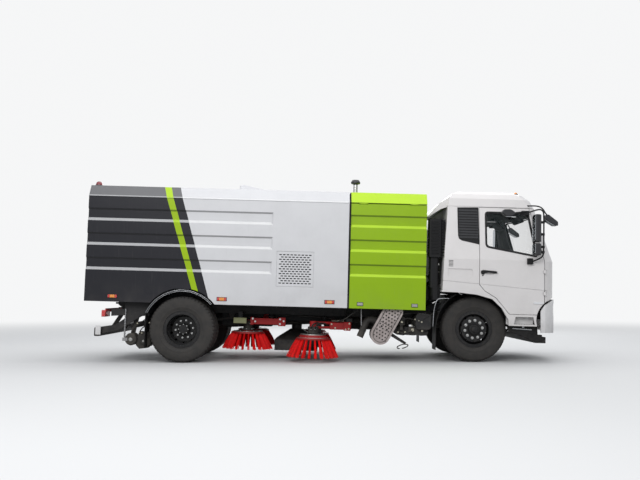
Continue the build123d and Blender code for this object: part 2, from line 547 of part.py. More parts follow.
# Hinge lugs under the floor and pin carriers for the tailgate.
LUG_Y0, LUG_Y1 = RAIL_HALF_W - 124, RAIL_HALF_W - 90
GATE_PIN_R, GATE_PIN_Y0, GATE_PIN_Y1 = 9, 700, 760
for side in (-1, 1):
    y0, y1 = across(side, LUG_Y0, LUG_Y1)
    lug = side_prism([(TIP_X - 38, BODY_FLOOR + 5), (TIP_X + 120, BODY_FLOOR + 5), (TIP_X + 38, TIP_Z - 10),
                      (TIP_X - 38, TIP_Z - 10)], y0, y1)
    lug += cross_rod(TIP_X, TIP_Z, y0, y1, 38)
    lug -= cross_rod(TIP_X, TIP_Z, y0 - 1, y1 + 1, HINGE_PIN_R + PIN_GAP)
    hopper += lug
    hopper += cross_rod(GATE_AXIS_X, GATE_AXIS_Z, *across(side, GATE_PIN_Y0, GATE_PIN_Y1), GATE_PIN_R)
    hopper += block(GATE_AXIS_X - 2, GATE_AXIS_X + 14, *across(side, GATE_PIN_Y0 - 10, GATE_PIN_Y0 + 5),
                    GATE_AXIS_Z - 6, GATE_AXIS_Z + 30)
# Lugs under the floor for the tipping rams.
ROD_X, ROD_Z, RAM_Y, RAM_PIN_R = REAR_X - 602, TIP_Z - 15, 270, 18
lug_half = RAM_PIN_R + 10
for side in (-1, 1):
    y = side * RAM_Y
    for e in (y - 45, y + 33):
        hopper += side_prism([(ROD_X - 60, BODY_FLOOR + 5), (ROD_X - lug_half, ROD_Z - lug_half),
                              (ROD_X + lug_half, ROD_Z - lug_half), (ROD_X + 60, BODY_FLOOR + 5)],
                             e, e + 12)
    hopper += cross_rod(ROD_X, ROD_Z, y - 45, y + 45, RAM_PIN_R)
node("hopper", hopper)
node("hopper_grilles", *both(grille))

# Tailgate in the rear mouth of the hopper: ribbed inside, pressed outside, hung from two knuckles.
GATE_HALF_W = BODY_HALF_W - WALL - 10
gate = block(HOPPER_REAR, HOPPER_REAR + GATE_T, -GATE_HALF_W, GATE_HALF_W, GATE_BOTTOM, GATE_TOP)
gate -= block(HOPPER_REAR + 26, HOPPER_REAR + GATE_T + 1, -GATE_HALF_W + 60, GATE_HALF_W - 60,
              GATE_BOTTOM + 60, GATE_TOP - 60)
for i in range(GROOVE_COUNT):
    z = GATE_BOTTOM + (GATE_TOP - GATE_BOTTOM) * (i + 0.5) / GROOVE_COUNT
    press = make_face(Polyline((HOPPER_REAR - 1, -GATE_HALF_W + 120, z - 120),
                               (HOPPER_REAR - 1, GATE_HALF_W - 120, z - 120),
                               (HOPPER_REAR - 1, GATE_HALF_W - 120, z + 120),
                               (HOPPER_REAR - 1, -GATE_HALF_W + 120, z + 120), close=True))
    deep = make_face(Polyline((HOPPER_REAR + 14, -GATE_HALF_W + 140, z - 100),
                              (HOPPER_REAR + 14, GATE_HALF_W - 140, z - 100),
                              (HOPPER_REAR + 14, GATE_HALF_W - 140, z + 100),
                              (HOPPER_REAR + 14, -GATE_HALF_W + 140, z + 100), close=True))
    gate -= loft([press, deep], ruled=True)
    if i:
        rib_z = GATE_BOTTOM + (GATE_TOP - GATE_BOTTOM) * i / GROOVE_COUNT
        gate += block(HOPPER_REAR + 20, HOPPER_REAR + GATE_T, -GATE_HALF_W + 50, GATE_HALF_W - 50,
                      rib_z - 20, rib_z + 20)
for side in (-1, 1):
    y0, y1 = across(side, GATE_PIN_Y0 + 12, GATE_PIN_Y1 - 5)
    gate += cross_rod(GATE_AXIS_X, GATE_AXIS_Z, y0, y1, 15)
    gate += block(GATE_AXIS_X - 6, GATE_AXIS_X + 12, y0, y1, GATE_TOP - 30, GATE_AXIS_Z)
    gate -= cross_rod(GATE_AXIS_X, GATE_AXIS_Z, y0 - 40, y1 + 40, GATE_PIN_R + PIN_GAP)
node("tailgate", gate)

# Tipping rams: barrels pivoted behind a cross member, rods pinned under the floor. The eye of each rod is
# bored wide, because the rod leaves the line of the pin a little between its two ends of travel.
RAM_R, RAM_ROD_R, EYE_DRIFT = 48, 26, 11.5
ram_len = hypot(ROD_X - RAM_X, ROD_Z - RAM_Z)


def along(d, y):
    """Point on the axis of a ram, measured from its lower pin."""
    return (RAM_X + (ROD_X - RAM_X) * d / ram_len, y, RAM_Z + (ROD_Z - RAM_Z) * d / ram_len)


barrels = []
ram_rods = []
ram_mounts = []
for side in (-1, 1):
    y = side * RAM_Y
    barrel = rod(along(60, y), along(ram_len - 92, y), RAM_R)
    barrel += rod(along(ram_len - 120, y), along(ram_len - 92, y), RAM_R + 5)
    barrel -= rod(along(70, y), along(ram_len, y), RAM_ROD_R + PIN_GAP)
    barrel += cross_rod(RAM_X, RAM_Z, y - 30, y + 30, 36)
    barrel += rod(along(20, y), along(65, y), 28)
    barrel -= cross_rod(RAM_X, RAM_Z, y - 31, y + 31, RAM_PIN_R + PIN_GAP)
    barrels.append(barrel)
    piston = rod(along(75, y), along(ram_len - 36, y), RAM_ROD_R)
    piston += cross_rod(ROD_X, ROD_Z, y - 30, y + 30, RAM_PIN_R + EYE_DRIFT + 14)
    piston -= cross_rod(ROD_X, ROD_Z, y - 31, y + 31, RAM_PIN_R + EYE_DRIFT)
    ram_rods.append(piston)
    mount = cross_rod(RAM_X, RAM_Z, y - 45, y + 45, RAM_PIN_R)
    face_x = RAM_MEMBER_X + MEMBER_HALF
    for e in (y - 45, y + 33):
        mount += side_prism([(RAM_X + 26, RAM_Z - 26), (RAM_X + 30, RAM_Z + 10), (RAM_X + 10, RAM_Z + 30),
                             (RAM_X - 20, RAM_Z + 32), (RAM_X - 46, RAM_Z + 54), (face_x, RAM_Z + 150),
                             (face_x, RAM_Z + 40), (RAM_X - 30, RAM_Z - 22)], e, e + 12)
    ram_mounts.append(mount)
node("ram_barrels", *barrels)
node("ram_rods", *ram_rods)
node("ram_mounts", *ram_mounts)

# Machine compartment behind the cab: floor, end walls and roof, closed at each side by a grooved door.
DOOR_T = 50
DOOR_TOP = BODY_CREASE - 20
BOX_PIN_R = 6
box_hinges = (BOX_REAR + 200, BOX_FRONT - 200)
compartment = body_shell(BOX_REAR, BOX_FRONT, 40, 40)
for side in (-1, 1):
    compartment -= block(BOX_REAR - 1, BOX_FRONT + 1,
                         *across(side, BODY_HALF_W - DOOR_T - 8, BODY_HALF_W + 1),
                         BODY_BOTTOM - 1, DOOR_TOP + 17)
    compartment -= block(BOX_REAR + 40, BOX_FRONT - 40,
                         *across(side, BODY_HALF_W - WALL - 2, BODY_HALF_W + 1),
                         BODY_FLOOR + 20, DOOR_TOP - 54)
BOX_AXIS_Y, BOX_AXIS_Z = BODY_HALF_W - 8, DOOR_TOP + 5
for side in (-1, 1):
    y = side * BOX_AXIS_Y
    for x in box_hinges:
        pin = rod((x - 60, y, BOX_AXIS_Z), (x + 60, y, BOX_AXIS_Z), BOX_PIN_R)
        compartment += pin
        for e in (-1, 1):
            compartment += block(x + e * 62 - 8, x + e * 62 + 8, y - 7, y + 7,
                                 BOX_AXIS_Z - BOX_PIN_R - 3, BOX_AXIS_Z + 16)
        compartment -= block(x - 53, x + 53, y - 17, y + 17, DOOR_TOP - 2, BOX_AXIS_Z + 14) - pin
box_door = block(BOX_REAR + 2, BOX_FRONT - 2, -BODY_HALF_W, -BODY_HALF_W + DOOR_T, BODY_BOTTOM, DOOR_TOP)
box_door -= block(BOX_REAR + 60, BOX_FRONT - 60, -BODY_HALF_W + GROOVE_DEPTH + 10, -BODY_HALF_W + DOOR_T + 1,
                  BODY_BOTTOM + 60, DOOR_TOP - 60)
for z in groove_zs:
    box_door -= groove(z, BOX_REAR - 2, BOX_FRONT + 2, False)
for x in box_hinges:
    box_door -= block(x - 72, x + 72, -BODY_HALF_W - 1, -BODY_HALF_W + 22, DOOR_TOP - 14, DOOR_TOP + 1)
    box_door += rod((x - 50, -BOX_AXIS_Y, BOX_AXIS_Z), (x + 50, -BOX_AXIS_Y, BOX_AXIS_Z), BOX_PIN_R + 5)
    box_door += block(x - 50, x + 50, -BOX_AXIS_Y - 4, -BOX_AXIS_Y + 4, DOOR_TOP - 16, BOX_AXIS_Z)
    box_door -= rod((x - 64, -BOX_AXIS_Y, BOX_AXIS_Z), (x + 64, -BOX_AXIS_Y, BOX_AXIS_Z), BOX_PIN_R + PIN_GAP)
node("compartment", compartment)
node("compartment_door_right", box_door)
node("compartment_door_left", mirrored(box_door))

# Sweeping engine on its bed, with its radiator and the scroll of the suction fan, and the exhaust stack.
bed = BODY_FLOOR + 20
aux = block(BOX_REAR + 137, BOX_FRONT - 139, -430, 430, bed, bed + 60)
aux += cross_prism([(-170, bed + 50), (170, bed + 50), (250, bed + 220), (250, bed + 430), (150, bed + 620),
                    (-150, bed + 620), (-250, bed + 430), (-250, bed + 220)],
                   BOX_FRONT - 839, BOX_FRONT - 239)
aux += fillet(block(BOX_FRONT - 800, BOX_FRONT - 280, -110, 110, bed + 600, bed + 700).edges(), 18)
aux += block(BOX_FRONT - 219, BOX_FRONT - 139, -400, 400, bed + 55, bed + 760)
aux += block(BOX_FRONT - 240, BOX_FRONT - 210, -60, 60, bed + 300, bed + 420)
fan_x, fan_z = BOX_REAR + 300, bed + 420
aux += rod((fan_x, 0, fan_z), (fan_x + 170, 0, fan_z), 340)
aux += rod((fan_x - 100, 0, fan_z), (fan_x + 10, 0, fan_z), 150)
aux += rod((fan_x + 160, 0, fan_z), (fan_x + 280, 0, fan_z), 190)
aux += block(fan_x, fan_x + 170, 40, 340, fan_z, bed + 800)
node("sweeping_engine", aux)
STACK_X, STACK_Y = BOX_REAR + 75, -900
stack = rod((STACK_X, STACK_Y, BODY_TOP), (STACK_X, STACK_Y, BODY_TOP + 190), 37)
stack += rod((STACK_X, STACK_Y, BODY_TOP), (STACK_X, STACK_Y, BODY_TOP + 10), 60)
stack += turned([(0, BODY_TOP + 172), (66, BODY_TOP + 172), (78, BODY_TOP + 184), (78, BODY_TOP + 206),
                 (56, BODY_TOP + 238), (0, BODY_TOP + 246)], STACK_X, STACK_Y)
node("exhaust_stack", stack)

# Raised air intake behind the cab: louvred head, duct and a bent pipe to the frame, on a bracket.
snorkel = fillet(block(-765, -560, -1180, -990, 1145, 1765).edges().filter_by(Axis.Z), 25)
for i in range(12):
    z = 1190 + 46 * i
    snorkel -= block(-730, -595, -1181, -1163, z, z + 22)
    snorkel -= block(-766, -748, -1150, -1020, z, z + 22)
snorkel += fillet(block(-740, -600, -1140, -1020, 653, 1160).edges().filter_by(Axis.Z), 30)
snorkel += tube([(-670, -1080, 673), (-670, -1080, 473), (-670, -600, 433)], 55, 90)
snorkel += block(-700, -640, -640, -RAIL_HALF_W, RAIL_TOP - 60, 433)
node("air_intake", snorkel)

# Suction nozzle between the brooms: open box with a sloped hood, a duct to the hopper floor and two links.
NOZZLE_X, NOZZLE_L, NOZZLE_T = -2885, 730, 10
NOZZLE_HALF_W = RAIL_HALF_W + 20
nozzle_z = GROUND + 60
nx0, nx1 = NOZZLE_X - NOZZLE_L / 2, NOZZLE_X + NOZZLE_L / 2
DUCT_X, DUCT_Y, DUCT_R = -2900, 200, 90


def hood_volume(inset):
    """Space under the sloped hood of the nozzle."""
    low, high = nozzle_z + 180, nozzle_z + 340 - inset
    faces = []
    for x, y, z, dx, dy in ((NOZZLE_X, 0, low, NOZZLE_L / 2 - inset, NOZZLE_HALF_W - inset),
                            (DUCT_X, DUCT_Y, high, DUCT_R + 20 - inset, DUCT_R + 20 - inset)):
        faces.append(make_face(Polyline((x - dx, y - dy, z), (x + dx, y - dy, z), (x + dx, y + dy, z),
                                        (x - dx, y + dy, z), close=True)))
    return loft(faces, ruled=True)


nozzle = block(nx0, nx1, -NOZZLE_HALF_W, NOZZLE_HALF_W, nozzle_z, nozzle_z + 180) + hood_volume(0)
nozzle -= block(nx0 + NOZZLE_T, nx1 - NOZZLE_T, -NOZZLE_HALF_W + NOZZLE_T, NOZZLE_HALF_W - NOZZLE_T,
                nozzle_z - 1, nozzle_z + 180)
nozzle -= hood_volume(NOZZLE_T)
nozzle += rod((DUCT_X, DUCT_Y, nozzle_z + 330), (DUCT_X, DUCT_Y, BODY_FLOOR - 13), DUCT_R)
nozzle -= rod((DUCT_X, DUCT_Y, nozzle_z + 300), (DUCT_X, DUCT_Y, BODY_FLOOR - 12), DUCT_R - 8)
link_y = RAIL_HALF_W - 45
for side in (-1, 1):
    nozzle += side_prism([(nx1 - 5, nozzle_z + 60), (nx1 - 5, nozzle_z + 150), (nx1 + 15, RAIL_BOTTOM - 45),
                          (nx1 + 65, RAIL_BOTTOM - 45), (nx1 + 40, nozzle_z + 60)],
                         *across(side, link_y - 8, link_y + 8))
    nozzle += block(nx1 + 10, nx1 + 70, *across(side, link_y - 25, link_y + 25),
                    RAIL_BOTTOM - 50, RAIL_BOTTOM)
node("suction_nozzle", nozzle)

# Brooms: steel disc with a splayed ring of bristle bundles, on a shaft in the motor above.
BROOM_R_TOP, BROOM_R_TIP, DISC_R = 255, 430, 283
BUNDLES = 24
BROOM_SHAFT_R = 24
SPLAY = 290


def broom(x, y, disc_z, tip_z):
    """Rotating broom with an upright shaft."""
    head = rod((0, 0, disc_z - 1), (0, 0, disc_z + 30), DISC_R)
    head += rod((0, 0, disc_z + 29), (0, 0, disc_z + 110), BROOM_SHAFT_R)
    bundle = turned([(BROOM_R_TOP - 50, disc_z), (BROOM_R_TOP + 20, disc_z), (BROOM_R_TIP, tip_z + 20),
                     (BROOM_R_TIP - 10, tip_z), (BROOM_R_TIP - 80, tip_z)], 0, 0, 240 / BUNDLES)
    for i in range(BUNDLES):
        head += Rot(0, 0, 360 * i / BUNDLES) * bundle
    return Pos(x, y, 0) * head


def motor(x, y, z0, z1):
    """Hydraulic motor that drives a broom, bored for its shaft."""
    body = rod((x, y, z0), (x, y, z1), 75)
    body += rod((x, y, z0), (x, y, z0 + 18), 100)
    return body - rod((x, y, z0 - 1), (x, y, z0 + 80), BROOM_SHAFT_R + PIN_GAP)


FRONT_BROOM = (-2598, 950, GROUND + SPLAY, GROUND)
REAR_BROOM = (-3697, 550, GROUND + SPLAY + 55, GROUND + 80)
for name, sign in (("right", -1), ("left", 1)):
    x, y, dz, tz = FRONT_BROOM
    node(f"front_broom_{name}", broom(x, sign * y, dz, tz))
    arm = motor(x, sign * y, dz + 36, dz + 190)
    for z in (ARM_Z - 40, ARM_Z + 36):
        arm += rod((x, sign * y, z), (ARM_X, sign * ARM_Y, z), 22)
    arm += rod((x, sign * y, dz + 150), (x, sign * y, ARM_Z + 62), 60)
    arm += rod((ARM_X, sign * ARM_Y, ARM_Z - 65), (ARM_X, sign * ARM_Y, ARM_Z + 58), 40)
    arm -= rod((ARM_X, sign * ARM_Y, ARM_Z - 70), (ARM_X, sign * ARM_Y, ARM_Z + 70), ARM_PIN_R + PIN_GAP)
    node(f"broom_arm_{name}", arm)
    x, y, dz, tz = REAR_BROOM
    node(f"rear_broom_{name}", broom(x, sign * y, dz, tz))
x, y, dz, tz = REAR_BROOM
hanger = motor(x, -y, dz + 36, dz + 190)
hanger += block(x - 50, x + 330, -y - 40, -y + 40, dz + 170, dz + 220)
hanger += cross_prism([(-y - 40, dz + 170), (-y + 40, dz + 170), (-RAIL_IN - 10, RAIL_BOTTOM - 30),
                       (-RAIL_IN - 10, RAIL_BOTTOM), (-RAIL_HALF_W, RAIL_BOTTOM), (-y - 40, dz + 230)],
                      x + 250, x + 330)
node("rear_broom_hangers", *both(hanger))

# Wheels, drawn on the left with the outer side at +Y.
HUB_BORE = 34
HUB_R = 93
HAND_HOLES = 10


def tyre(y, cx, cz):
    """One tyre, open toward the rim."""
    h = TYRE_W / 2
    outline = [(h - 39, BEAD_R), (h - 39, BEAD_R + 40), (h - 25, BEAD_R + 46), (h - 9, BEAD_R + 84),
               (h, TYRE_R - 127), (h - 3, TYRE_R - 87), (h - 14, TYRE_R - 32), (h - 27, TYRE_R - 9),
               (60, TYRE_R - 1), (0, TYRE_R)]
    inner = [(0, TYRE_R - 29), (h - 44, TYRE_R - 39), (h - 25, TYRE_R - 87), (h - 25, TYRE_R - 147),
             (h - 51, BEAD_R + 44), (h - 51, BEAD_R)]
    full = outline + [(-a, b) for a, b in outline[-2::-1]]
    hollow_side = [(-a, b) for a, b in inner[::-1]] + inner[1:]
    return Pos(0, y, 0) * spun(full + hollow_side, cx, cz)


def rim(y, cx, cz, face, cone):
    """Steel disc wheel: base with flanges, and a dished disc with hand holes."""
    w = RIM_W / 2
    base = [(-w, BEAD_R - 12), (-w, BEAD_R + 39), (-w + 11, BEAD_R + 39), (-w + 11.7, BEAD_R - 0.3),
            (w - 11.7, BEAD_R - 0.3), (w - 11, BEAD_R + 39), (w, BEAD_R + 39), (w, BEAD_R - 12)]
    bore = HUB_R + PIN_GAP
    out = 1 if cone < face else -1
    disc = [(cone, BEAD_R - 6), (cone, BEAD_R - 24), (face, BEAD_R - 60), (face, bore),
            (face + 14 * out, bore), (face + 14 * out, BEAD_R - 52), (cone + 12 * out, BEAD_R - 10)]
    web = spun(disc, cx, cz)
    for i in range(HAND_HOLES):
        a = radians(360 * (i + 0.5) / HAND_HOLES)
        hx, hz = cx + (BEAD_R - 44) * cos(a), cz + (BEAD_R - 44) * sin(a)
        web -= cross_rod(hx, hz, min(face, cone) - 30, max(face, cone) + 30, 17)
    return Pos(0, y, 0) * (spun(base, cx, cz) + web)


front_tyre = tyre(ft, 0, 0)
front_rim = rim(ft, 0, 0, 86, 20)
front_rim += spun([(175, 34), (175, 70), (160, HUB_R - 6), (150, HUB_R), (10, HUB_R), (10, 34)], 0, 0).moved(
    Location((0, ft, 0)))
front_rim += spun([(-118, 34), (-118, 200), (8, 200), (20, 190), (20, 130), (86, 130), (86, 34)], 0, 0).moved(
    Location((0, ft, 0)))
front_rim -= cross_rod(0, 0, ft - 130, ft + 120, HUB_BORE + PIN_GAP)
front_rim += cross_rod(0, 0, ft + 120, ft + 175, 36)
node("front_tyre_left", front_tyre, placed=level)
node("front_rim_left", front_rim, placed=level)
node("front_tyre_right", mirrored(front_tyre), placed=level)
node("front_rim_right", mirrored(front_rim), placed=level)

# Steering knuckles: forked round the beam ends, with their stub axles and brake back plates.
steer = cross_rod(0, 0, KINGPIN_Y + 50, ft + 118, HUB_BORE)
steer += cross_rod(0, 0, KINGPIN_Y + 50, KINGPIN_Y + 58, 150)
for z0, z1 in ((-115, -71), (71, 115)):
    steer += rod((0, KINGPIN_Y, z0), (0, KINGPIN_Y, z1), 48)
    steer += block(-40, 40, KINGPIN_Y + 10, KINGPIN_Y + 56, z0, z1)
steer += block(-40, 40, KINGPIN_Y + 50, KINGPIN_Y + 56, -115, 115)
steer -= rod((0, KINGPIN_Y, -127), (0, KINGPIN_Y, 133), KINGPIN_R + PIN_GAP)
steer += rod((0, KINGPIN_Y, 113), (0, KINGPIN_Y, 123), 48)
node("knuckle_left", steer, placed=level)
node("knuckle_right", mirrored(steer), placed=level)

rear_tyres = [tyre(rt + half_twin, REAR_X, REAR_Z), tyre(rt - half_twin, REAR_X, REAR_Z)]
outer_rim = rim(rt + half_twin, REAR_X, REAR_Z, -half_twin, -half_twin + 110)
inner_rim = rim(rt - half_twin, REAR_X, REAR_Z, half_twin, half_twin - 110)
hub = cross_rod(REAR_X, REAR_Z, rt - 190, rt - 16, 150)
hub += spun([(rt - 30, 0), (rt - 30, HUB_R), (rt + 110, HUB_R), (rt + 130, HUB_R - 20), (rt + 130, 0)],
            REAR_X, REAR_Z)
hub -= cross_rod(REAR_X, REAR_Z, rt - 200, rt + 76, SPINDLE_R + PIN_GAP)
node("rear_tyres_left", *rear_tyres)
node("rear_tyres_right", *[mirrored(t) for t in rear_tyres])
node("rear_rims_left", outer_rim, inner_rim, hub)
node("rear_rims_right", mirrored(outer_rim), mirrored(inner_rim), mirrored(hub))

# Cab: one skin through sections seen from above, pressed, hollowed, and cut for its doors and windows.
# Columns: height, half width less than the cab's, rear end, corner, shoulder X, shoulder inboard, front.
CAB_SECTIONS = [
    (68, 0, -570, 1090, 1290, 295, 1415),
    (1123, 0, -524, 1090, 1290, 295, 1405),
    (1993, 115, -462, 830, 1010, 395, 1150),
    (2120, 137, -438, 770, 945, 440, 1060),
    (2200, 185, -385, 690, 845, 505, 925),
    (2248, 260, -270, 580, 730, 580, 790),
    (2260, 400, -120, 440, 580, 690, 640),
]
ROOF_Z = 2100


def cab_volume(inset):
    """Space within the cab, a given distance inside its skin."""
    faces = []
    for z, narrower, rear, corner, shoulder_x, shoulder_in, front in CAB_SECTIONS:
        top = z - inset if z > ROOF_Z else z
        faces.append(plan_outline(top, CAB_HALF_W - narrower - inset, rear + inset, corner - inset * 0.4,
                                  shoulder_x - inset, CAB_HALF_W - shoulder_in - inset * 0.5, front - inset))
    return loft(faces, ruled=True)


def cab_side(z):
    """Half width of the cab at a height between its belt and its gutter."""
    belt, gutter = CAB_SECTIONS[1][0], CAB_SECTIONS[2][0]
    return CAB_HALF_W - CAB_SECTIONS[2][1] * (z - belt) / (gutter - belt)


solid_cab = cab_volume(0)
inside = cab_volume(CAB_T)
WIDE = CAB_HALF_W + 60
ARCH_LINE = [(-570, 591), (-300, 585), (6, 557), (249, 493), (405, 349), (508, 173), (520, 77)]
QUARTER_PANEL = [(-301, 1962), (34, 1974), (41, 1363), (-257, 1433)]
quarter_tool = side_prism(QUARTER_PANEL, -WIDE, WIDE)
grille_slots = [block(1100, 1500, -545, 545, 590 + 62 * i, 626 + 62 * i) for i in range(5)]
grille_slots += [block(1100, 1500, -520, 520, 330 + 62 * i, 362 + 62 * i) for i in range(3)]
vent_slots = [block(-452, -380, -WIDE, WIDE, 1000 + 22 * i, 1010 + 22 * i) for i in range(5)]
# Columns: depth pressed into the skin, tools.
PRESSINGS = [
    (4, [side_prism([(-600, 778), (1140, 651), (1140, 640), (-600, 767)], -WIDE, WIDE)]),
    (6, [block(-700, 1500, -WIDE, WIDE, 1980, 1987)]),
    (8, [quarter_tool]),
    (9, [side_prism([(-462, 835), (-80, 829), (-66, 860), (-66, 930), (-84, 963), (-462, 963)],
                    -WIDE, WIDE)]),
    (12, vent_slots + [block(152, 268, -WIDE, WIDE, 884, 944)]),
    (18, grille_slots),
]
skin = solid_cab
for depth, tools in PRESSINGS:
    layer = solid_cab - cab_volume(depth)
    for tool in tools:
        skin -= layer & tool

# The shell: floor over the wheel houses, engine tunnel, louvred quarter panels and lipped wheel arches.
floor_top = CAB_FLOOR + CAB_FLOOR_T
shell = skin - (inside & block(-600, 1500, -WIDE, WIDE, floor_top, 2300))
shell -= side_prism(ARCH_LINE + [(1008, 77), (1008, 328), (1070, 435), (1262, 545), (1500, 545), (1500, -27),
                                 (-600, -27)], -WIDE, WIDE)
shell -= block(-600, 640, -CAB_HALF_W + CAB_T, CAB_HALF_W - CAB_T, -27, CAB_FLOOR)
shell -= block(-600, 900, -340, 340, -27, CAB_FLOOR + 15)
shell -= block(640, 1500, -CAB_HALF_W + CAB_T, CAB_HALF_W - CAB_T, -27, CAB_FLOOR - 35) & inside
tunnel = block(-540, 900, -380, 380, CAB_FLOOR - 5, CAB_FLOOR + 185)
tunnel -= block(-600, 860, -340, 340, CAB_FLOOR - 35, CAB_FLOOR + 145)
shell += tunnel & skin
for i in range(11):
    z = 1420 + 50 * i
    slat = block(-290, 30, -WIDE, WIDE, z, z + 16)
    shell += (cab_volume(1) - cab_volume(12)) & slat & quarter_tool
lip_out = [(x + 12 + 0.06 * x, z + 26) for x, z in ARCH_LINE[1:5]]
lip_outline = ARCH_LINE + [(552, 77), (540, 180)] + lip_out[::-1] + [(-570, 620)]
shell += (cab_volume(-9) - cab_volume(CAB_T - 5)) & side_prism(lip_outline, -WIDE, WIDE)
# Step under each door, and the lower grille that hangs between the headlamps.
step_tool = side_prism([(600, 100), (940, 100), (912, 222), (628, 222)], -WIDE, -CAB_HALF_W + 70)
shell -= step_tool
shell -= mirrored(step_tool)
for side in (-1, 1):
    shell -= cross_rod(TILT_X, TILT_Z, *across(side, CAB_HALF_W - 60, CAB_HALF_W + 15), TILT_SWEEP_R)
apron = (skin - cab_volume(30)) & block(1200, 1500, -600, 600, TILT_Z + 99, 575)
shell += apron

DOOR_OUTLINE = [(47.5, 723), (47.5, 1973), (862, 1973), (1078, 1133), (1082, 1073), (1082, 445), (1010, 343),
                (1003, 263), (533, 263), (508, 285), (314, 516), (137, 620)]
DOOR_DEPTH = CAB_HALF_W - 1000
outline_face = make_face(Polyline(*[(x, 0, z) for x, z in DOOR_OUTLINE], close=True))
gap_face = offset(outline_face, SHUT_GAP, kind=Kind.INTERSECTION)
door_tool = side_prism(DOOR_OUTLINE, -WIDE, -CAB_HALF_W + DOOR_DEPTH)
door_gap = extrude(Pos(0, -WIDE, 0) * gap_face, amount=WIDE - CAB_HALF_W + DOOR_DEPTH, dir=(0, 1, 0))
shell -= door_gap
shell -= mirrored(door_gap)
well_y = -CAB_HALF_W + DOOR_DEPTH
tread = block(560, 990, -CAB_HALF_W + CAB_T + 10, well_y + 4, 425, 445)
tread += block(560, 990, well_y - 4, well_y + 4, 425, CAB_FLOOR + 12)
shell += tread
shell += mirrored(tread)
door_shell = (skin - inside) & door_tool
WINDOW_OUTLINE = [(150, 1898), (835, 1898), (962, 1195), (152, 1335)]
window_tool = side_prism(WINDOW_OUTLINE, -WIDE, -CAB_HALF_W + 345)
door_shell -= window_tool
door_shell -= cross_rod(TILT_X, TILT_Z, -CAB_HALF_W - 15, -CAB_HALF_W + DOOR_DEPTH + 1, TILT_SWEEP_R)
pane_shell = cab_volume(14) - cab_volume(20)
door_glass = pane_shell & window_tool
# Door handle on two posts over its finger pocket.
HANDLE_Z = 914
handle = block(84, 336, -CAB_HALF_W - 19, -CAB_HALF_W - 7, HANDLE_Z - 12, HANDLE_Z + 12)
door_shell += fillet(handle.edges(), 5)
for x in (92, 298):
    door_shell += block(x, x + 30, -CAB_HALF_W - 12, -CAB_HALF_W + 20, HANDLE_Z - 9, HANDLE_Z + 9)

# Windscreen and rear window.
screen_tool = cross_prism([(-1060, 1218), (-980, 1943), (980, 1943), (1060, 1218), (700, 1163), (-700, 1163)],
                          700, 1600)
shell -= screen_tool
screen = pane_shell & screen_tool
rear_tool = cross_prism([(-600, 1273), (-600, 1773), (600, 1773), (600, 1273)], -700, -300)
shell -= rear_tool
rear_pane = pane_shell & rear_tool

# Roof fairing that runs down behind the cab.
fairing = side_prism([(-774, 1818), (-700, 1913), (-600, 2028), (-420, 2153), (-300, 2163), (-300, 2113),
                      (-400, 2103), (-470, 1973), (-560, 1943), (-690, 1858), (-760, 1803)], -1060, 1060)
shell += fairing - cab_volume(20)

# Door hinges: pins on the door posts, knuckles on the doors, the posts cleared round each knuckle.
DOOR_AXIS_X, DOOR_AXIS_Y = 1094, CAB_HALF_W + 7
DOOR_PIN_R = 6
HINGE_ZS = (603, 953)
for z in HINGE_ZS:
    for side in (-1, 1):
        y = side * DOOR_AXIS_Y
        pin = rod((DOOR_AXIS_X, y, z - 40), (DOOR_AXIS_X, y, z + 40), DOOR_PIN_R)
        shell += pin
        for e in (-1, 1):
            shell += block(DOOR_AXIS_X - 5, DOOR_AXIS_X + 24,
                           *across(side, DOOR_AXIS_Y - 24, DOOR_AXIS_Y + 6),
                           z + e * 36 - 5, z + e * 36 + 5)
        shell -= block(DOOR_AXIS_X - 30, DOOR_AXIS_X + 18, *across(side, DOOR_AXIS_Y - 22, DOOR_AXIS_Y + 28),
                       z - 31, z + 31) - pin
    door_shell += rod((DOOR_AXIS_X, -DOOR_AXIS_Y, z - 26), (DOOR_AXIS_X, -DOOR_AXIS_Y, z + 26),
                      DOOR_PIN_R + 5)
    door_shell += block(DOOR_AXIS_X - 30, DOOR_AXIS_X, -DOOR_AXIS_Y - 6, -DOOR_AXIS_Y + 8, z - 26, z + 26)
    door_shell -= rod((DOOR_AXIS_X, -DOOR_AXIS_Y, z - 30), (DOOR_AXIS_X, -DOOR_AXIS_Y, z + 30),
                      DOOR_PIN_R + PIN_GAP)
# Tilt lugs hang from the front wall down to the pivots.
for side in (-1, 1):
    y0, y1 = across(side, RAIL_HALF_W - 70, RAIL_HALF_W - 30)
    lug = side_prism([(TILT_X - 40, TILT_Z - 10), (TILT_X + 20, TILT_Z), (TILT_X + 50, CAB_FLOOR - 25),
                      (TILT_X - 40, CAB_FLOOR - 25)], y0, y1)
    lug += cross_rod(TILT_X, TILT_Z, y0, y1, 40)
    lug -= cross_rod(TILT_X, TILT_Z, y0 - 1, y1 + 1, TILT_PIN_R + PIN_GAP)
    shell += lug
node("cab_shell", shell)
node("cab_glass", screen, rear_pane)
node("door_right", door_shell)
node("door_left", mirrored(door_shell))
node("door_glass_right", door_glass)
node("door_glass_left", mirrored(door_glass))

# Dashboard with its cluster hood, steering column, steering wheel and seats.
dash = side_prism([(1120, floor_top), (1330, floor_top), (1330, 1073), (1180, 1113), (1000, 1033), (980, 913),
                   (1100, 853)], -CAB_HALF_W + 165, CAB_HALF_W - 165)
dash += fillet(side_prism([(960, 1000), (1180, 1100), (1120, 1175), (985, 1110)], 390, 730).edges(), 12)
for y0, y1 in ((-760, -420), (-180, 180)):
    dash -= block(960, 1012, y0, y1, 930, 1005)
dash &= cab_volume(CAB_T + 2)
WHEEL_X, WHEEL_Y, WHEEL_Z, WHEEL_LEAN = 780, 560, 1113, 38
lean = radians(WHEEL_LEAN)


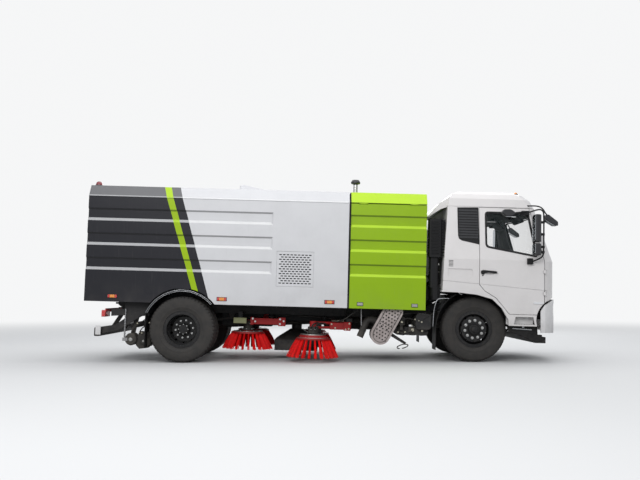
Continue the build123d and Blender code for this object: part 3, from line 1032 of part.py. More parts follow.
def column_point(d):
    """Point on the steering column, measured up from the wheel's centre."""
    return (WHEEL_X - d * sin(lean), WHEEL_Y, WHEEL_Z + d * cos(lean))


COLUMN_L = 555
dash += rod(column_point(-COLUMN_L), column_point(-40), 30)
dash += rod(column_point(-42), column_point(2), 10)
node("dashboard", dash)
ring = Torus(215, 14)
ring += Cylinder(32, 30)
for a in (90, 210, 330):
    ring += Rot(0, 0, a) * Pos(108, 0, 0) * Box(200, 26, 12)
ring -= Pos(0, 0, -16) * Cylinder(10 + PIN_GAP, 36)
node("steering_wheel", Pos(WHEEL_X, WHEEL_Y, WHEEL_Z) * Rot(0, -WHEEL_LEAN, 0) * ring)


def seat(y):
    """Seat: pedestal, cushion, back and headrest."""
    cushion = side_prism([(-60, 973), (420, 983), (450, 1040), (430, 1093), (60, 1083), (-60, 1100)], y - 250,
                         y + 250)
    back = side_prism([(-100, 1033), (20, 1033), (10, 1180), (-110, 1653), (-210, 1653)], y - 240, y + 240)
    rest = side_prism([(-130, 1673), (-200, 1673), (-240, 1833), (-170, 1833)], y - 140, y + 140)
    whole = fillet(cushion.edges(), 22) + fillet(back.edges(), 25) + fillet(rest.edges(), 20)
    for e in (-50, 50):
        whole += block(-175, -160, y + e - 10, y + e + 10, 1623, 1703)
    return whole + side_prism([(20, floor_top), (360, floor_top), (330, 983), (60, 983)], y - 180, y + 180)


node("seats", *both(seat(-640)))

# Mirrors: a bent arm on each door that carries a large and a small head.
ARM_TUBE_R = 14
MOUNT_Z, FOOT_Z = 1935, 1103
mount_y = -cab_side(MOUNT_Z)
side_lean = radians(7.53)


def off_door(d):
    """Point at a distance out from the door skin at the upper mount."""
    return (835, mount_y - d * cos(side_lean), MOUNT_Z + d * sin(side_lean))


mirror_arm = tube([off_door(34), (960, -CAB_HALF_W - 25, 1953), (1068, -CAB_HALF_W - 135, 1928),
                   (1068, -CAB_HALF_W - 155, 1253), (945, -CAB_HALF_W - 55, 1123),
                   (935, -CAB_HALF_W - 13, FOOT_Z)], ARM_TUBE_R, 40)
mirror_arm += rod((935, -CAB_HALF_W - 0.2, FOOT_Z), (935, -CAB_HALF_W - 23, FOOT_Z), 40)
mirror_arm += rod(off_door(0), off_door(44), 20)
# Columns: lower and upper end of the head, inner and outer side beyond the cab.
HEADS = [(1433, 1873, 55, 245), (1248, 1398, 55, 235)]
for z0, z1, y0, y1 in HEADS:
    head = block(1008, 1064, -CAB_HALF_W - y1, -CAB_HALF_W - y0, z0, z1)
    mirror_arm += fillet(fillet(head.edges().filter_by(Axis.X), 38).edges().group_by(Axis.X)[-1], 22)
node("mirror_right", mirror_arm)
node("mirror_left", mirrored(mirror_arm))
print("parts:", len(os.listdir("parts")))
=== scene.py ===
from math import cos, hypot, pi, radians, sin
from random import Random

import bmesh
import bpy
from mathutils import Matrix, Vector
from mathutils.bvhtree import BVHTree


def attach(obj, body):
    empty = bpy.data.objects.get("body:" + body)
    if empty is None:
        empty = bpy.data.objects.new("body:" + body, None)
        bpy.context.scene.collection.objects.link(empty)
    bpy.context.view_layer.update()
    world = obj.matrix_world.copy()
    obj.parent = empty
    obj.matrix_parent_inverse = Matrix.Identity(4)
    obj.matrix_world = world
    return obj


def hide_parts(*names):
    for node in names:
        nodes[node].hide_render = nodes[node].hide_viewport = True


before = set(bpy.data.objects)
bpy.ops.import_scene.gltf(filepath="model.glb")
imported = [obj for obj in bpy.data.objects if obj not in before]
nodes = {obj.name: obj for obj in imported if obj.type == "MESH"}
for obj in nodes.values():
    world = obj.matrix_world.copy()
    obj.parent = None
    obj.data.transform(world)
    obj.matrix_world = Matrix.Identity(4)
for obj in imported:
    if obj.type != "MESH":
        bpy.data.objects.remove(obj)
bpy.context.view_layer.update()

SIDES = (("right", -1), ("left", 1))

# Studio: a pale floor that fades into a pale surround, a broad soft light overhead and two softer ones at
# the sides, and the camera low at the truck's right side, as the photograph has it.
scene = bpy.context.scene
scene.view_settings.view_transform = "Standard"
camera = bpy.data.objects.new("camera", bpy.data.cameras.new("camera"))
camera.location = (-0.077, -13.354, 1.066)
PITCH_UP = 4.225        # degrees
camera.rotation_euler = (radians(90 + PITCH_UP), 0, 0)
camera.data.lens = 42.5
camera.data.sensor_width = 36
camera.data.clip_end = 300
scene.collection.objects.link(camera)
scene.camera = camera


class Socket:
    """A value or colour in a material. Python's operators on it add the Math nodes."""

    def __init__(self, finish, end):
        self.finish = finish
        self.end = end

    def math(self, operation, *terms):
        return self.finish.node("Math", {"operation": operation}, dict(enumerate(terms)))

    def other(self, name):
        return Socket(self.finish, self.end.node.outputs[name])

    def __add__(self, term):
        return self.math("ADD", self, term)

    def __sub__(self, term):
        return self.math("SUBTRACT", self, term)

    def __rsub__(self, term):
        return self.math("SUBTRACT", term, self)

    def __mul__(self, term):
        return self.math("MULTIPLY", self, term)

    def __truediv__(self, term):
        return self.math("DIVIDE", self, term)

    def __gt__(self, term):
        return self.math("GREATER_THAN", self, term)

    def __lt__(self, term):
        return self.math("LESS_THAN", self, term)

    def rise(self, low, high):
        """0 below one value, 1 above another, and a soft step between."""
        return self.finish.node("MapRange", {"interpolation_type": "SMOOTHSTEP"},
                                {0: self, 1: low, 2: high, 3: 0.0, 4: 1.0})


class Finish:
    """One surface finish: a material, the nodes that vary it, and the name of a slot for the pieces drawn in
    it, which this script stores but does not use.
    """

    def __init__(self, name, slot, color, roughness=0.5, metallic=0.0, **fixed):
        self.material = bpy.data.materials.new(name)
        self.material.use_nodes = True
        self.tree = self.material.node_tree
        self.shader = self.tree.nodes["Principled BSDF"]
        self.slot = slot
        self.color = color
        self.roughness = roughness
        self.set("Base Color", (*color, 1.0))
        self.set("Roughness", roughness)
        self.set("Metallic", metallic)
        for words, value in fixed.items():
            self.set(words.replace("_", " ").title().replace("Ior", "IOR"), value)

    def set(self, name, value):
        """Feeds the shader's socket with a number, a colour or a link."""
        if isinstance(value, Socket):
            self.tree.links.new(value.end, self.shader.inputs[name])
        else:
            self.shader.inputs[name].default_value = value

    def node(self, kind, settings, inputs, output=0):
        """Adds a node: its settings first, then the values or links of its sockets."""
        made = self.tree.nodes.new("ShaderNode" + kind)
        for key, value in settings.items():
            setattr(made, key, value)
        for key, value in inputs.items():
            if isinstance(value, Socket):
                self.tree.links.new(value.end, made.inputs[key])
            else:
                made.inputs[key].default_value = value
        return Socket(self, made.outputs[output])

    def place(self):
        """Where a point of the surface is, as its object's own coordinates."""
        return self.node("TexCoord", {}, {}, "Object")

    def axes(self, vector=None):
        x = self.node("SeparateXYZ", {}, {0: vector or self.place()}, "X")
        return x, x.other("Y"), x.other("Z")

    def up(self):
        """How far the surface faces up: 1 on a floor, 0 on a wall, -1 on a ceiling."""
        return self.axes(self.node("TexCoord", {}, {}, "Normal"))[2]

    def mix(self, share, first, second):
        """Colour that goes from the first to the second as the share goes from 0 to 1."""
        tones = [t if isinstance(t, Socket) else (*t, 1.0) for t in (first, second)]
        return self.node("Mix", {"data_type": "RGBA"}, {0: share, 6: tones[0], 7: tones[1]}, 2)

    def soil(self, share, tone):
        """Lays a second tone over the finish's own colour."""
        self.set("Base Color", self.mix(share, self.color, tone))

    def noise(self, scale, detail=3.0, rough=0.55, stretch=None):
        """Cloudy value from 0 to 1, with about that many clouds to the metre."""
        where = self.place()
        if stretch:
            where = self.node("Mapping", {}, {0: where, 3: stretch})
        return self.node("TexNoise", {}, {"Vector": where, "Scale": scale, "Detail": detail,
                                          "Roughness": rough})

    def bump(self, height, distance, under=None):
        """Raises the surface by up to a distance in metres, over a normal that is given or its own."""
        inputs = {"Height": height, "Distance": distance, "Strength": 1.0}
        if under:
            inputs["Normal"] = under
        self.set("Normal", self.node("Bump", {}, inputs))

    def cells(self, scale):
        """Small cells, as in the grain of moulded plastic."""
        return self.node("TexVoronoi", {}, {"Vector": self.place(), "Scale": scale})


SKY = (0.92, 0.925, 0.93)
FADE_FROM, FADE_TO = 7.0, 24.0      # metres from the truck where the floor passes into the surround
floor_mesh = bmesh.new()
bmesh.ops.create_circle(floor_mesh, cap_ends=True, segments=96, radius=120.0)
floor_data = bpy.data.meshes.new("studio_floor")
floor_mesh.to_mesh(floor_data)
studio_floor = bpy.data.objects.new("studio_floor", floor_data)
scene.collection.objects.link(studio_floor)
floor_finish = Finish("studio_floor", None, (0.62, 0.62, 0.62), roughness=0.9)
seen = floor_finish.node("LightPath", {}, {}, "Is Camera Ray")
floor_x, floor_y, _ = floor_finish.axes()
squares = floor_x * floor_x + floor_y * floor_y
reach = squares.math("SQRT", squares)
floor_finish.set("Base Color", floor_finish.mix(seen, (0.27, 0.27, 0.27), (0.66, 0.66, 0.66)))
glow = floor_finish.node("Emission", {}, {"Color": (*SKY, 1.0)})
lit = Socket(floor_finish, floor_finish.shader.outputs[0])
blended = floor_finish.node("MixShader", {}, {0: reach.rise(FADE_FROM, FADE_TO), 1: lit, 2: glow})
floor_finish.tree.links.new(blended.end, floor_finish.tree.nodes["Material Output"].inputs["Surface"])
floor_data.materials.append(floor_finish.material)

world = bpy.data.worlds.new("studio")
scene.world = world
world.use_nodes = True
air = world.node_tree
path = air.nodes.new("ShaderNodeLightPath")
direct = air.nodes.new("ShaderNodeMath")
direct.operation = "MAXIMUM"
air.links.new(path.outputs["Is Camera Ray"], direct.inputs[0])
air.links.new(path.outputs["Is Transmission Ray"], direct.inputs[1])
backing = air.nodes["Background"]
backing.inputs["Strength"].default_value = 0.68
white = air.nodes.new("ShaderNodeBackground")
white.inputs["Color"].default_value = (*SKY, 1.0)
choice = air.nodes.new("ShaderNodeMixShader")
air.links.new(direct.outputs[0], choice.inputs[0])
air.links.new(backing.outputs[0], choice.inputs[1])
air.links.new(white.outputs[0], choice.inputs[2])
air.links.new(choice.outputs[0], air.nodes["World Output"].inputs["Surface"])
backing.inputs["Color"].default_value = (0.93, 0.96, 1.0, 1.0)

# Columns: name, power in watts, size in metres, place, point that it faces.
for name, power, size, spot, target in (
        ("overhead", 460, (12, 7), (0, 0, 9.5), (0, 0, 0)),
        ("near_side", 560, (10, 4), (-2, -11, 6.5), (0, 0, 1.2)),
        ("far_side", 480, (10, 4), (2, 11, 6.5), (0, 0, 1.2))):
    lamp = bpy.data.objects.new(name, bpy.data.lights.new(name, "AREA"))
    lamp.data.shape = "RECTANGLE"
    lamp.data.size, lamp.data.size_y = size
    lamp.data.energy = power
    lamp.location = spot
    lamp.rotation_euler = (Vector(target) - Vector(spot)).to_track_quat("-Z", "Y").to_euler()
    scene.collection.objects.link(lamp)

# Chassis frame: pressed steel rails under black chassis enamel, riveted and bolted, with a film of road dust
# on what faces up. The truck stands 1.6 degrees nose-down on its springs, so places along it are given as
# (forward of the front axle, left of the middle, above the road) in millimetres along the frame.
LEAN = radians(1.6)
AXLE_X, AXLE_Z = 2.411, 0.527
ALONG_FRAME = (Matrix.Translation((AXLE_X, 0, AXLE_Z)) @ Matrix.Rotation(LEAN, 4, "Y")
               @ Matrix.Translation((0, 0, -AXLE_Z)) @ Matrix.Scale(0.001, 4))
LEVEL = Matrix.Translation((AXLE_X, 0, 0)) @ Matrix.Scale(0.001, 4)
ROAD_DUST = (0.20, 0.18, 0.155)


def paint_node(finish, *names):
    """Gives CAD nodes their finish."""
    for name in names:
        slots = nodes[name].data.materials
        slots.clear()
        slots.append(finish.material)


def frame_axes(finish):
    """Metres forward of the front axle, left, and above the road, along the leaning frame."""
    x, y, z = finish.axes()
    ahead, above = x - AXLE_X, z - AXLE_Z
    return (ahead * cos(LEAN) - above * sin(LEAN), y, ahead * sin(LEAN) + above * cos(LEAN) + AXLE_Z)


def weathered(name, slot, color, roughness, dust, specular=0.22, metallic=0.0, low=0.3, high=1.3,
              grain=0.0002):
    """A finish mottled a little, with dust settled low down and on what faces up, and its gloss broken."""
    finish = Finish(name, slot, color, roughness, metallic, specular_ior_level=specular)
    z = finish.axes()[2]
    clouds = finish.noise(7.0, 5.0)
    shade = finish.mix(clouds.rise(0.3, 0.75) * 0.10, color, (0.0, 0.0, 0.0))
    settled = (1 - z.rise(low, high)) * clouds.rise(0.25, 0.8) + finish.up().rise(0.45, 0.95) * 0.35
    finish.set("Base Color", finish.mix(settled * dust, shade, ROAD_DUST))
    finish.set("Roughness", settled * (dust * 0.45) + finish.noise(40.0) * 0.12 + (roughness - 0.06))
    finish.bump(finish.noise(450.0, 2.0), grain)
    return finish


chassis_enamel = weathered("chassis_enamel", "black_paint", (0.022, 0.022, 0.024), 0.42, 0.30)
paint_node(chassis_enamel, "frame", "subframe", "underrun_guards", "ram_mounts", "tanks", "ram_barrels",
           "suction_nozzle")


def at(x, y, z):
    """A place along the frame, in the truck's own metres."""
    return ALONG_FRAME @ Vector((x, y, z))


def settle(name, mesh, body, finish, edge=0.0, where=ALONG_FRAME, crease=35, replaced=None):
    """Makes a drawn mesh into a piece that rides on its body, with its edges rounded over. A star in the
    name stands for right and left: the mesh is drawn on the left, and becomes a piece on each side."""
    bmesh.ops.remove_doubles(mesh, verts=mesh.verts, dist=0.001)
    for word, side in SIDES if "*" in name else (("", 1),):
        drawn = mesh.copy()
        bmesh.ops.transform(drawn, matrix=where @ Matrix.Diagonal((1, side, 1, 1)), verts=drawn.verts)
        bmesh.ops.recalc_face_normals(drawn, faces=drawn.faces)
        data = bpy.data.meshes.new(name.replace("*", word))
        drawn.to_mesh(data)
        drawn.free()
        data.materials.append(finish.material)
        data.polygons.foreach_set("use_smooth", [True] * len(data.polygons))
        data.set_sharp_from_angle(angle=radians(crease))
        piece = bpy.data.objects.new(name.replace("*", word), data)
        scene.collection.objects.link(piece)
        if edge:
            rounded = piece.modifiers.new("edges", "BEVEL")
            rounded.width = edge / 1000
            rounded.segments = 2
            rounded.limit_method = "ANGLE"
            rounded.harden_normals = True
        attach(piece, body.replace("*", word))
        if replaced:
            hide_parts(replaced.replace("*", word))
    mesh.free()
    return piece


def join(mesh, first, second):
    """Closes two loops of as many points into a solid, with a wall between them."""
    low, top = ([mesh.verts.new(point) for point in loop] for loop in (first, second))
    mesh.faces.new(low[::-1])
    mesh.faces.new(top)
    for i in range(len(low)):
        j = (i + 1) % len(low)
        mesh.faces.new((low[i], low[j], top[j], top[i]))


def slab(mesh, outline, low, high, across="Y"):
    """Pushes an outline between two planes: (X, Z) across Y, (X, Y) across Z, or (Y, Z) across X."""
    loops = []
    for level in (low, high):
        loops.append([{"Y": (a, level, b), "Z": (a, b, level), "X": (level, a, b)}[across]
                      for a, b in outline])
    join(mesh, *loops)


def brick(mesh, *boxes):
    """Boxes along the frame, each from one place to the other forward, across and up."""
    for x0, x1, y0, y1, z0, z1 in boxes:
        slab(mesh, [(x0, z0), (x1, z0), (x1, z1), (x0, z1)], min(y0, y1), max(y0, y1))


def around(count, radius, first=0.0):
    """Places round a circle, from its middle."""
    angles = [first + 2 * pi * i / count for i in range(count)]
    return [(radius * cos(a), radius * sin(a)) for a in angles]


def lathe(mesh, profile, centre, axis="Y", steps=32, closed=False):
    """Turns an outline of (distance along the axis, radius) about an axis across the truck or upright."""
    turns = []
    for u, v in around(steps, 1):
        ring = []
        for along, radius in profile:
            offset = (u * radius, along, v * radius) if axis == "Y" else (u * radius, v * radius, along)
            ring.append(mesh.verts.new(Vector(centre) + Vector(offset)))
        turns.append(ring)
    for here, after in zip(turns, turns[1:] + turns[:1]):
        for k in range(len(profile) if closed else len(profile) - 1):
            m = (k + 1) % len(profile)
            corners = []
            for vert in (here[k], here[m], after[m], after[k]):
                if all((vert.co - c.co).length > 1e-6 for c in corners):
                    corners.append(vert)
            if len(corners) > 2:
                mesh.faces.new(corners)


def upright(way):
    """The turn that lays the Z axis along a direction."""
    return Vector(way).to_track_quat("Z", "Y").to_matrix().to_4x4()


def bolt(mesh, centre, axis, size, height, washer=1.25, sides=6):
    """Hexagon head on its washer, standing out from a face along a direction."""
    for radius, depth, count in ((size * washer, height * 0.2, 16), (size, height, sides)):
        spot = Matrix.Translation(centre) @ upright(axis) @ Matrix.Translation((0, 0, depth / 2))
        bmesh.ops.create_cone(mesh, cap_ends=True, segments=count, radius1=radius, radius2=radius * 0.94,
                              depth=depth, matrix=spot)


def pipes(name, routes, radius, body, finish, where=ALONG_FRAME):
    """Bent pipes, hoses or wires that are clipped down all along, each on one smooth line. A star in the
    name stands for right and left, as in settle."""
    for word, side in SIDES if "*" in name else (("", 1),):
        data = bpy.data.curves.new(name.replace("*", word), "CURVE")
        data.dimensions = "3D"
        data.bevel_depth = radius / 1000
        data.bevel_resolution = 4
        data.resolution_u = 6
        data.use_fill_caps = True
        for route in routes:
            line = data.splines.new("NURBS")
            line.points.add(len(route) - 1)
            for point, (x, y, z) in zip(line.points, route):
                point.co = (*(where @ Vector((x, y * side, z))), 1.0)
            line.order_u = 3
            line.use_endpoint_u = True
        data.materials.append(finish.material)
        piece = bpy.data.objects.new(name.replace("*", word), data)
        scene.collection.objects.link(piece)
        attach(piece, body.replace("*", word))


RAIL_OUT = 430
rivets = bmesh.new()
for side in (-1, 1):
    for x in range(-5800, 1150, 130):
        for z in (706, 874):
            bolt(rivets, (x, side * RAIL_OUT, z), (0, side, 0), 11, 9, sides=12)
settle("frame_rivets", rivets, "chassis", chassis_enamel)

# Wheels: tubeless disc wheels with ten nuts on a 285.75 mm circle, black enamel dulled by brake dust, on
# 10.00R20 tyres. The front hubs stand out through the discs; the rear discs are dished in between the twins.
# Dust is held in the sidewalls and grooves of the tyres.
NUT_CIRCLE = 285.75 / 2
TRACK_FRONT, TRACK_REAR, HALF_TWIN = 940, 930, 160
REAR_X, REAR_Z = -4698.17, 395.8
rubber = Finish("tyre_rubber", "tyre_rubber", (0.024, 0.023, 0.022))
clouds, fine = rubber.noise(9.0, 6.0), rubber.noise(160.0, 3.0)
held = clouds.rise(0.2, 0.8) * 0.50 + fine * 0.12
rubber.soil(held, (0.066, 0.058, 0.052))
rubber.set("Roughness", clouds * 0.16 + 0.70)
rubber.bump(fine + rubber.noise(30.0, 4.0) * 0.5, 0.0008)
TYRE_R = 527


def tyre(mesh, y, x, z, blocks):
    """One tyre: grooved tread, notched shoulders, ribbed sidewall and bead, open toward the rim."""
    # Columns: distance from the middle, radius, how far a notch across the tread lowers it.
    tread = [(0, 527, 0), (16, 527, 0), (18, 513, 0), (30, 513, 0), (32, 526.5, 3), (66, 525.5, 3),
             (68, 512, 0), (80, 512, 0), (82, 524, 11), (104, 521, 12), (113, 517, 12), (122, 505, 6),
             (126, 494, 2), (129, 489, 0), (130.5, 489, 0), (131, 486, 0), (133, 474, 0), (136, 455, 0),
             (138.5, 436, 0), (139, 418, 0), (139, 402, 0), (137, 380, 0), (135, 364, 0), (136, 361, 0),
             (135, 357, 0), (131, 343, 0), (124, 322, 0), (117, 305, 0), (118, 302, 0), (114, 298, 0),
             (100, 296, 0), (99, 258, 0)]
    inner = [(88, 256, 0), (88, 300, 0), (112, 378, 0), (113, 438, 0), (95, 486, 0), (0, 497, 0)]
    half = tread + inner
    profile = half + [(-u, r, n) for u, r, n in half[-2:0:-1]]
    pitch = 360 / blocks
    turns = []
    for i in range(blocks):
        for part, cut in ((0.0, 0), (0.74, 0), (0.77, 1), (0.97, 1)):
            a = radians((i + part) * pitch)
            ring = []
            for u, r, notch in profile:
                skew = 0.00012 * u if notch else 0
                r -= notch * cut
                ring.append(mesh.verts.new((x + r * cos(a + skew), y + u, z + r * sin(a + skew))))
            turns.append(ring)
    for i, here in enumerate(turns):
        after = turns[(i + 1) % len(turns)]
        for k in range(len(profile)):
            m = (k + 1) % len(profile)
            mesh.faces.new((here[k], here[m], after[m], after[k]))


wheel_enamel = Finish("wheel_enamel", "black_paint", (0.016, 0.016, 0.017), roughness=0.38,
                      specular_ior_level=0.22, coat_weight=0.2)
bright_steel = Finish("bright_nuts", "stack_steel", (0.62, 0.62, 0.61), roughness=0.28, metallic=1.0)
for metal in (wheel_enamel, bright_steel):
    grime = metal.noise(35.0, 5.0)
    metal.soil(grime.rise(0.45, 0.8) * 0.35, (0.11, 0.095, 0.08))
    metal.set("Roughness", grime * 0.25 + (metal.roughness - 0.08))
    metal.bump(metal.noise(300.0, 2.0), 0.0003)
front, twins = bmesh.new(), bmesh.new()
tyre(front, TRACK_FRONT, 0, TYRE_R, 68)
settle("tyre_front_*", front, "front_wheel_*", rubber, where=LEVEL, crease=50, replaced="front_tyre_*")
for offset in (-HALF_TWIN, HALF_TWIN):
    tyre(twins, TRACK_REAR + offset, REAR_X, REAR_Z, 54)
settle("tyres_rear_*", twins, "rear_wheels_*", rubber, crease=50, replaced="rear_tyres_*")
paint_node(wheel_enamel, "front_rim_right", "rear_rims_right", "front_rim_left", "rear_rims_left")
front_nuts, rear_nuts, caps = bmesh.new(), bmesh.new(), bmesh.new()
for u, v in around(10, NUT_CIRCLE, radians(8)):
    bolt(front_nuts, (u, TRACK_FRONT + 100, TYRE_R + v), (0, 1, 0), 18, 34, washer=1.35)
    bolt(front_nuts, (u, TRACK_FRONT + 130, TYRE_R + v), (0, 1, 0), 11, 16, sides=16)
    bolt(rear_nuts, (REAR_X + u, TRACK_REAR, REAR_Z + v), (0, 1, 0), 18, 34, washer=1.35)
    bolt(rear_nuts, (REAR_X + u, TRACK_REAR + 32, REAR_Z + v), (0, 1, 0), 11, 18, sides=16)
for u, v in around(8, 76):
    bolt(rear_nuts, (REAR_X + u, TRACK_REAR + 124, REAR_Z + v), (0, 1, 0), 7, 12)
for u, v in around(8, 62):
    bolt(caps, (u, TRACK_FRONT + 172, TYRE_R + v), (0, 1, 0), 6, 8)
lathe(caps, [(TRACK_FRONT + u, r) for u, r in ((150, 20), (150, 56), (176, 54), (186, 46), (190, 26),
                                               (190, 0))], (0, 0, TYRE_R), steps=40)
settle("wheel_nuts_front_*", front_nuts, "front_wheel_*", bright_steel, where=LEVEL)
settle("wheel_nuts_rear_*", rear_nuts, "rear_wheels_*", bright_steel)
settle("hub_cap_*", caps, "front_wheel_*", wheel_enamel, where=LEVEL)
stem = [(x, TRACK_FRONT + out, TYRE_R + up) for x, out, up in ((178, 96, 96), (186, 112, 101),
                                                               (196, 118, 108), (206, 120, 114))]
pipes("valve_*", [stem], 5, "front_wheel_*", bright_steel, LEVEL)

# Axles, springs and driveline: cast and forged steel under thin primer, darkened by oil and dust. The sweeping
# engine is of the same castings.
castings = weathered("cast_steel", "dark_steel", (0.045, 0.043, 0.041), 0.62, 0.55, metallic=0.35,
                     low=0.2, high=1.1, grain=0.0007)
paint_node(castings, "front_axle", "rear_axle", "driveline", "knuckle_left", "knuckle_right",
           "sweeping_engine")

# Waste hopper: ribbed sheet steel in gloss coach enamel over primer. The rear is charcoal behind a slanting
# edge, with a lime stripe before it. The ledges are painted paler, a painted highlight for the sky's
# reflection on them, palest on the charcoal and on its roof.
WHITE, CHARCOAL, LIME = (0.68, 0.68, 0.695), (0.016, 0.016, 0.021), (0.34, 0.52, 0.002)
GREEN = (0.285, 0.475, 0.002)


def coach_enamel(name, slot, tone):
    """Gloss enamel under a thin clear coat; enamel_surface gives it its tones."""
    return Finish(name, slot, tone, roughness=0.32, coat_weight=0.12, coat_roughness=0.08,
                  specular_ior_level=0.24)


def enamel_surface(finish, tone, dust):
    """Slight fade and mottling, orange peel, painted shade on the faces that look down under the ledges, and a
    faint splash line low down.
    """
    z = frame_axes(finish)[2]
    clouds = finish.noise(3.0, 6.0, 0.6)
    streaks = finish.noise(9.0, 4.0, 0.6, stretch=(6.0, 1.0, 0.35))
    tone = finish.mix(clouds.rise(0.35, 0.8) * 0.05, tone, (0.0, 0.0, 0.0))
    tone = finish.mix(streaks.rise(0.55, 0.85) * 0.06, tone, (0.30, 0.28, 0.25))
    # Painted shade: faces that look down are darkened, as if in the shade under the ledges.
    tone = finish.mix((finish.up() * -1).rise(0.2, 0.6) * 0.40, tone, (0.06, 0.06, 0.06))
    splash = (1 - z.rise(0.80, 1.25)) * clouds.rise(0.3, 0.8)
    finish.set("Base Color", finish.mix(splash * dust, tone, ROAD_DUST))
    finish.set("Roughness", splash * 0.25 + streaks * 0.10 + (finish.roughness - 0.05))
    rounded = finish.node("Bevel", {"samples": 4}, {"Radius": 0.006})
    finish.bump(finish.noise(120.0, 2.0), 0.00025, under=rounded)


hopper_enamel = coach_enamel("hopper_enamel", "white_paint", WHITE)
x, y, z = frame_axes(hopper_enamel)
charcoal_edge = (z - 0.815) * -0.29653 - 4.258
stripe_rear = (z - 0.975) * -0.31079 - 4.538
stripe_front = (z - 0.975) * -0.30262 - 4.444
in_stripe = (x > stripe_rear) * (x < stripe_front)
# Painted highlight: up-facing ledges are painted paler, standing in for the sky's reflection; on the charcoal
# above the roof fold it is paler still.
ledge_highlight = hopper_enamel.up().rise(0.12, 0.40)
ROOF_FOLD = 2.525
highlight_tone = hopper_enamel.mix(z > ROOF_FOLD, (0.46, 0.46, 0.47), (0.17, 0.17, 0.175))
dark_zone = hopper_enamel.mix(ledge_highlight, CHARCOAL, highlight_tone)
pale_zone = hopper_enamel.mix(ledge_highlight * (z < ROOF_FOLD), WHITE, (0.80, 0.80, 0.80))
panel = hopper_enamel.mix(x < charcoal_edge, pale_zone, dark_zone)
stripe_tone = hopper_enamel.mix(ledge_highlight * 0.7, LIME, (0.50, 0.74, 0.05))
# Inside, where the walls fold in above 2.46 m, the metal is one plain dark tone.
below_fold = (y < 1.19) * (y > -1.19) * (z < 2.46)
below_roof = (y < 0.93) * (y > -0.93) * (z < 2.66)
inside = ((below_fold + below_roof) > 0.5) * (z > 1.03) * (x < -2.15) * (x > -6.19)
outside_tone = hopper_enamel.mix(in_stripe, panel, stripe_tone)
enamel_surface(hopper_enamel, hopper_enamel.mix(inside, outside_tone, (0.075, 0.072, 0.070)), dust=0.12)
paint_node(hopper_enamel, "hopper", "tailgate", "hopper_grilles")


def channel_ledges(mesh, rear, front):
    """The rolled lower edges of the pressed channels, wider than the folds; their up-facing faces carry the
    enamel's painted highlight, so they show as bright ledges.
    """
    for z in (2212, 1816, 1420):
        slab(mesh, [(1249.5, z - 102), (1225.5, z - 54), (1225.5, z - 80)], rear, front, "X")


# Ledges along the hopper's sides, a drip bead along the fold of its roof, and filters behind its grilles.
HOPPER_REAR, HOPPER_FRONT, GRILLE_REAR = -6262, -2078, -3316
ledges = bmesh.new()
channel_ledges(ledges, HOPPER_REAR, GRILLE_REAR)
slab(ledges, [(1249, 2494), (1254, 2500), (1253, 2510), (1247, 2520)], HOPPER_REAR, HOPPER_FRONT, "X")
settle("channel_ledges_*", ledges, "hopper", hopper_enamel, crease=20)
backing = bmesh.new()
brick(backing, (-3188, -2640, 1231, 1235, 1138, 1682))
settle("grille_filter_*", backing, "hopper", chassis_enamel, edge=1)

# Side marker lamps: moulded amber lenses with red ends on black rubber pads, three along each side. Each is
# screwed to the foot of the hopper at both ends.
BODY_Y = 1250
rubber_pad = weathered("black_rubber", "black_plastic", (0.02, 0.02, 0.021), 0.65, 0.25)
PRISMS = 520.0      # radians to the metre


def lens_finish(name, tone, slot="red_lens"):
    """Moulded lens: clear coloured plastic over a pattern of small square prisms, with a paler tone painted on
    the prisms as a painted glint.
    """
    finish = Finish(name, slot, tone, roughness=0.12, coat_weight=0.6, coat_roughness=0.03)
    across, up = (way * PRISMS for way in finish.axes()[::2])
    ribs = across.math("SINE", across) * up.math("SINE", up)
    # Painted glint: the prisms' paler tone stands in for light caught in them.
    pale = tuple(min(1.0, c * 1.9 + 0.06) for c in tone)
    finish.set("Base Color", finish.mix(ribs.rise(-1.0, 1.0) * 0.45, tone, pale))
    finish.bump(ribs, 0.0006)
    return finish


amber = lens_finish("amber_lens", (0.80, 0.24, 0.03))
red_lens = lens_finish("red_lens", (0.52, 0.02, 0.02))
clear_lens = lens_finish("clear_lens", (0.72, 0.73, 0.75), "lamp_lens")
pads, middles, ends, screws = bmesh.new(), bmesh.new(), bmesh.new(), bmesh.new()
for x in (-5819, -4070, -2349):
    brick(pads, (x - 82, x + 82, BODY_Y - 1, BODY_Y + 5, 868, 932))
    brick(middles, (x - 40, x + 40, BODY_Y + 4, BODY_Y + 15, 876, 924))
    for end in (-1, 1):
        brick(ends, (x + end * 42, x + end * 72, BODY_Y + 4, BODY_Y + 13, 876, 924))
        bolt(screws, (x + end * 77, BODY_Y + 4, 900), (0, 1, 0), 3, 2, sides=12)
settle("marker_pads_*", pads, "hopper", rubber_pad, edge=3)
settle("marker_middles_*", middles, "hopper", amber, edge=4)
settle("marker_ends_*", ends, "hopper", red_lens, edge=4)
settle("marker_screws_*", screws, "hopper", bright_steel)

# Beacons: red domes on black bases at the rear corners of the hopper roof, bolted through. The domes are
# moulded in clear red plastic and the bases in rubber.
beacon_red = lens_finish("beacon_red", (0.17, 0.009, 0.013))
base, dome = bmesh.new(), bmesh.new()
BEACON = (-6190, 1000, 2690)
lathe(base, [(0, 0), (0, 66), (10, 66), (14, 62), (22, 60), (24, 56), (24, 0)], BEACON, "Z")
lathe(dome, [(20, 54), (34, 54), (58, 48), (74, 36), (84, 18), (86, 0)], BEACON, "Z")
settle("beacon_base_*", base, "hopper", rubber_pad)
settle("beacon_dome_*", dome, "hopper", beacon_red)

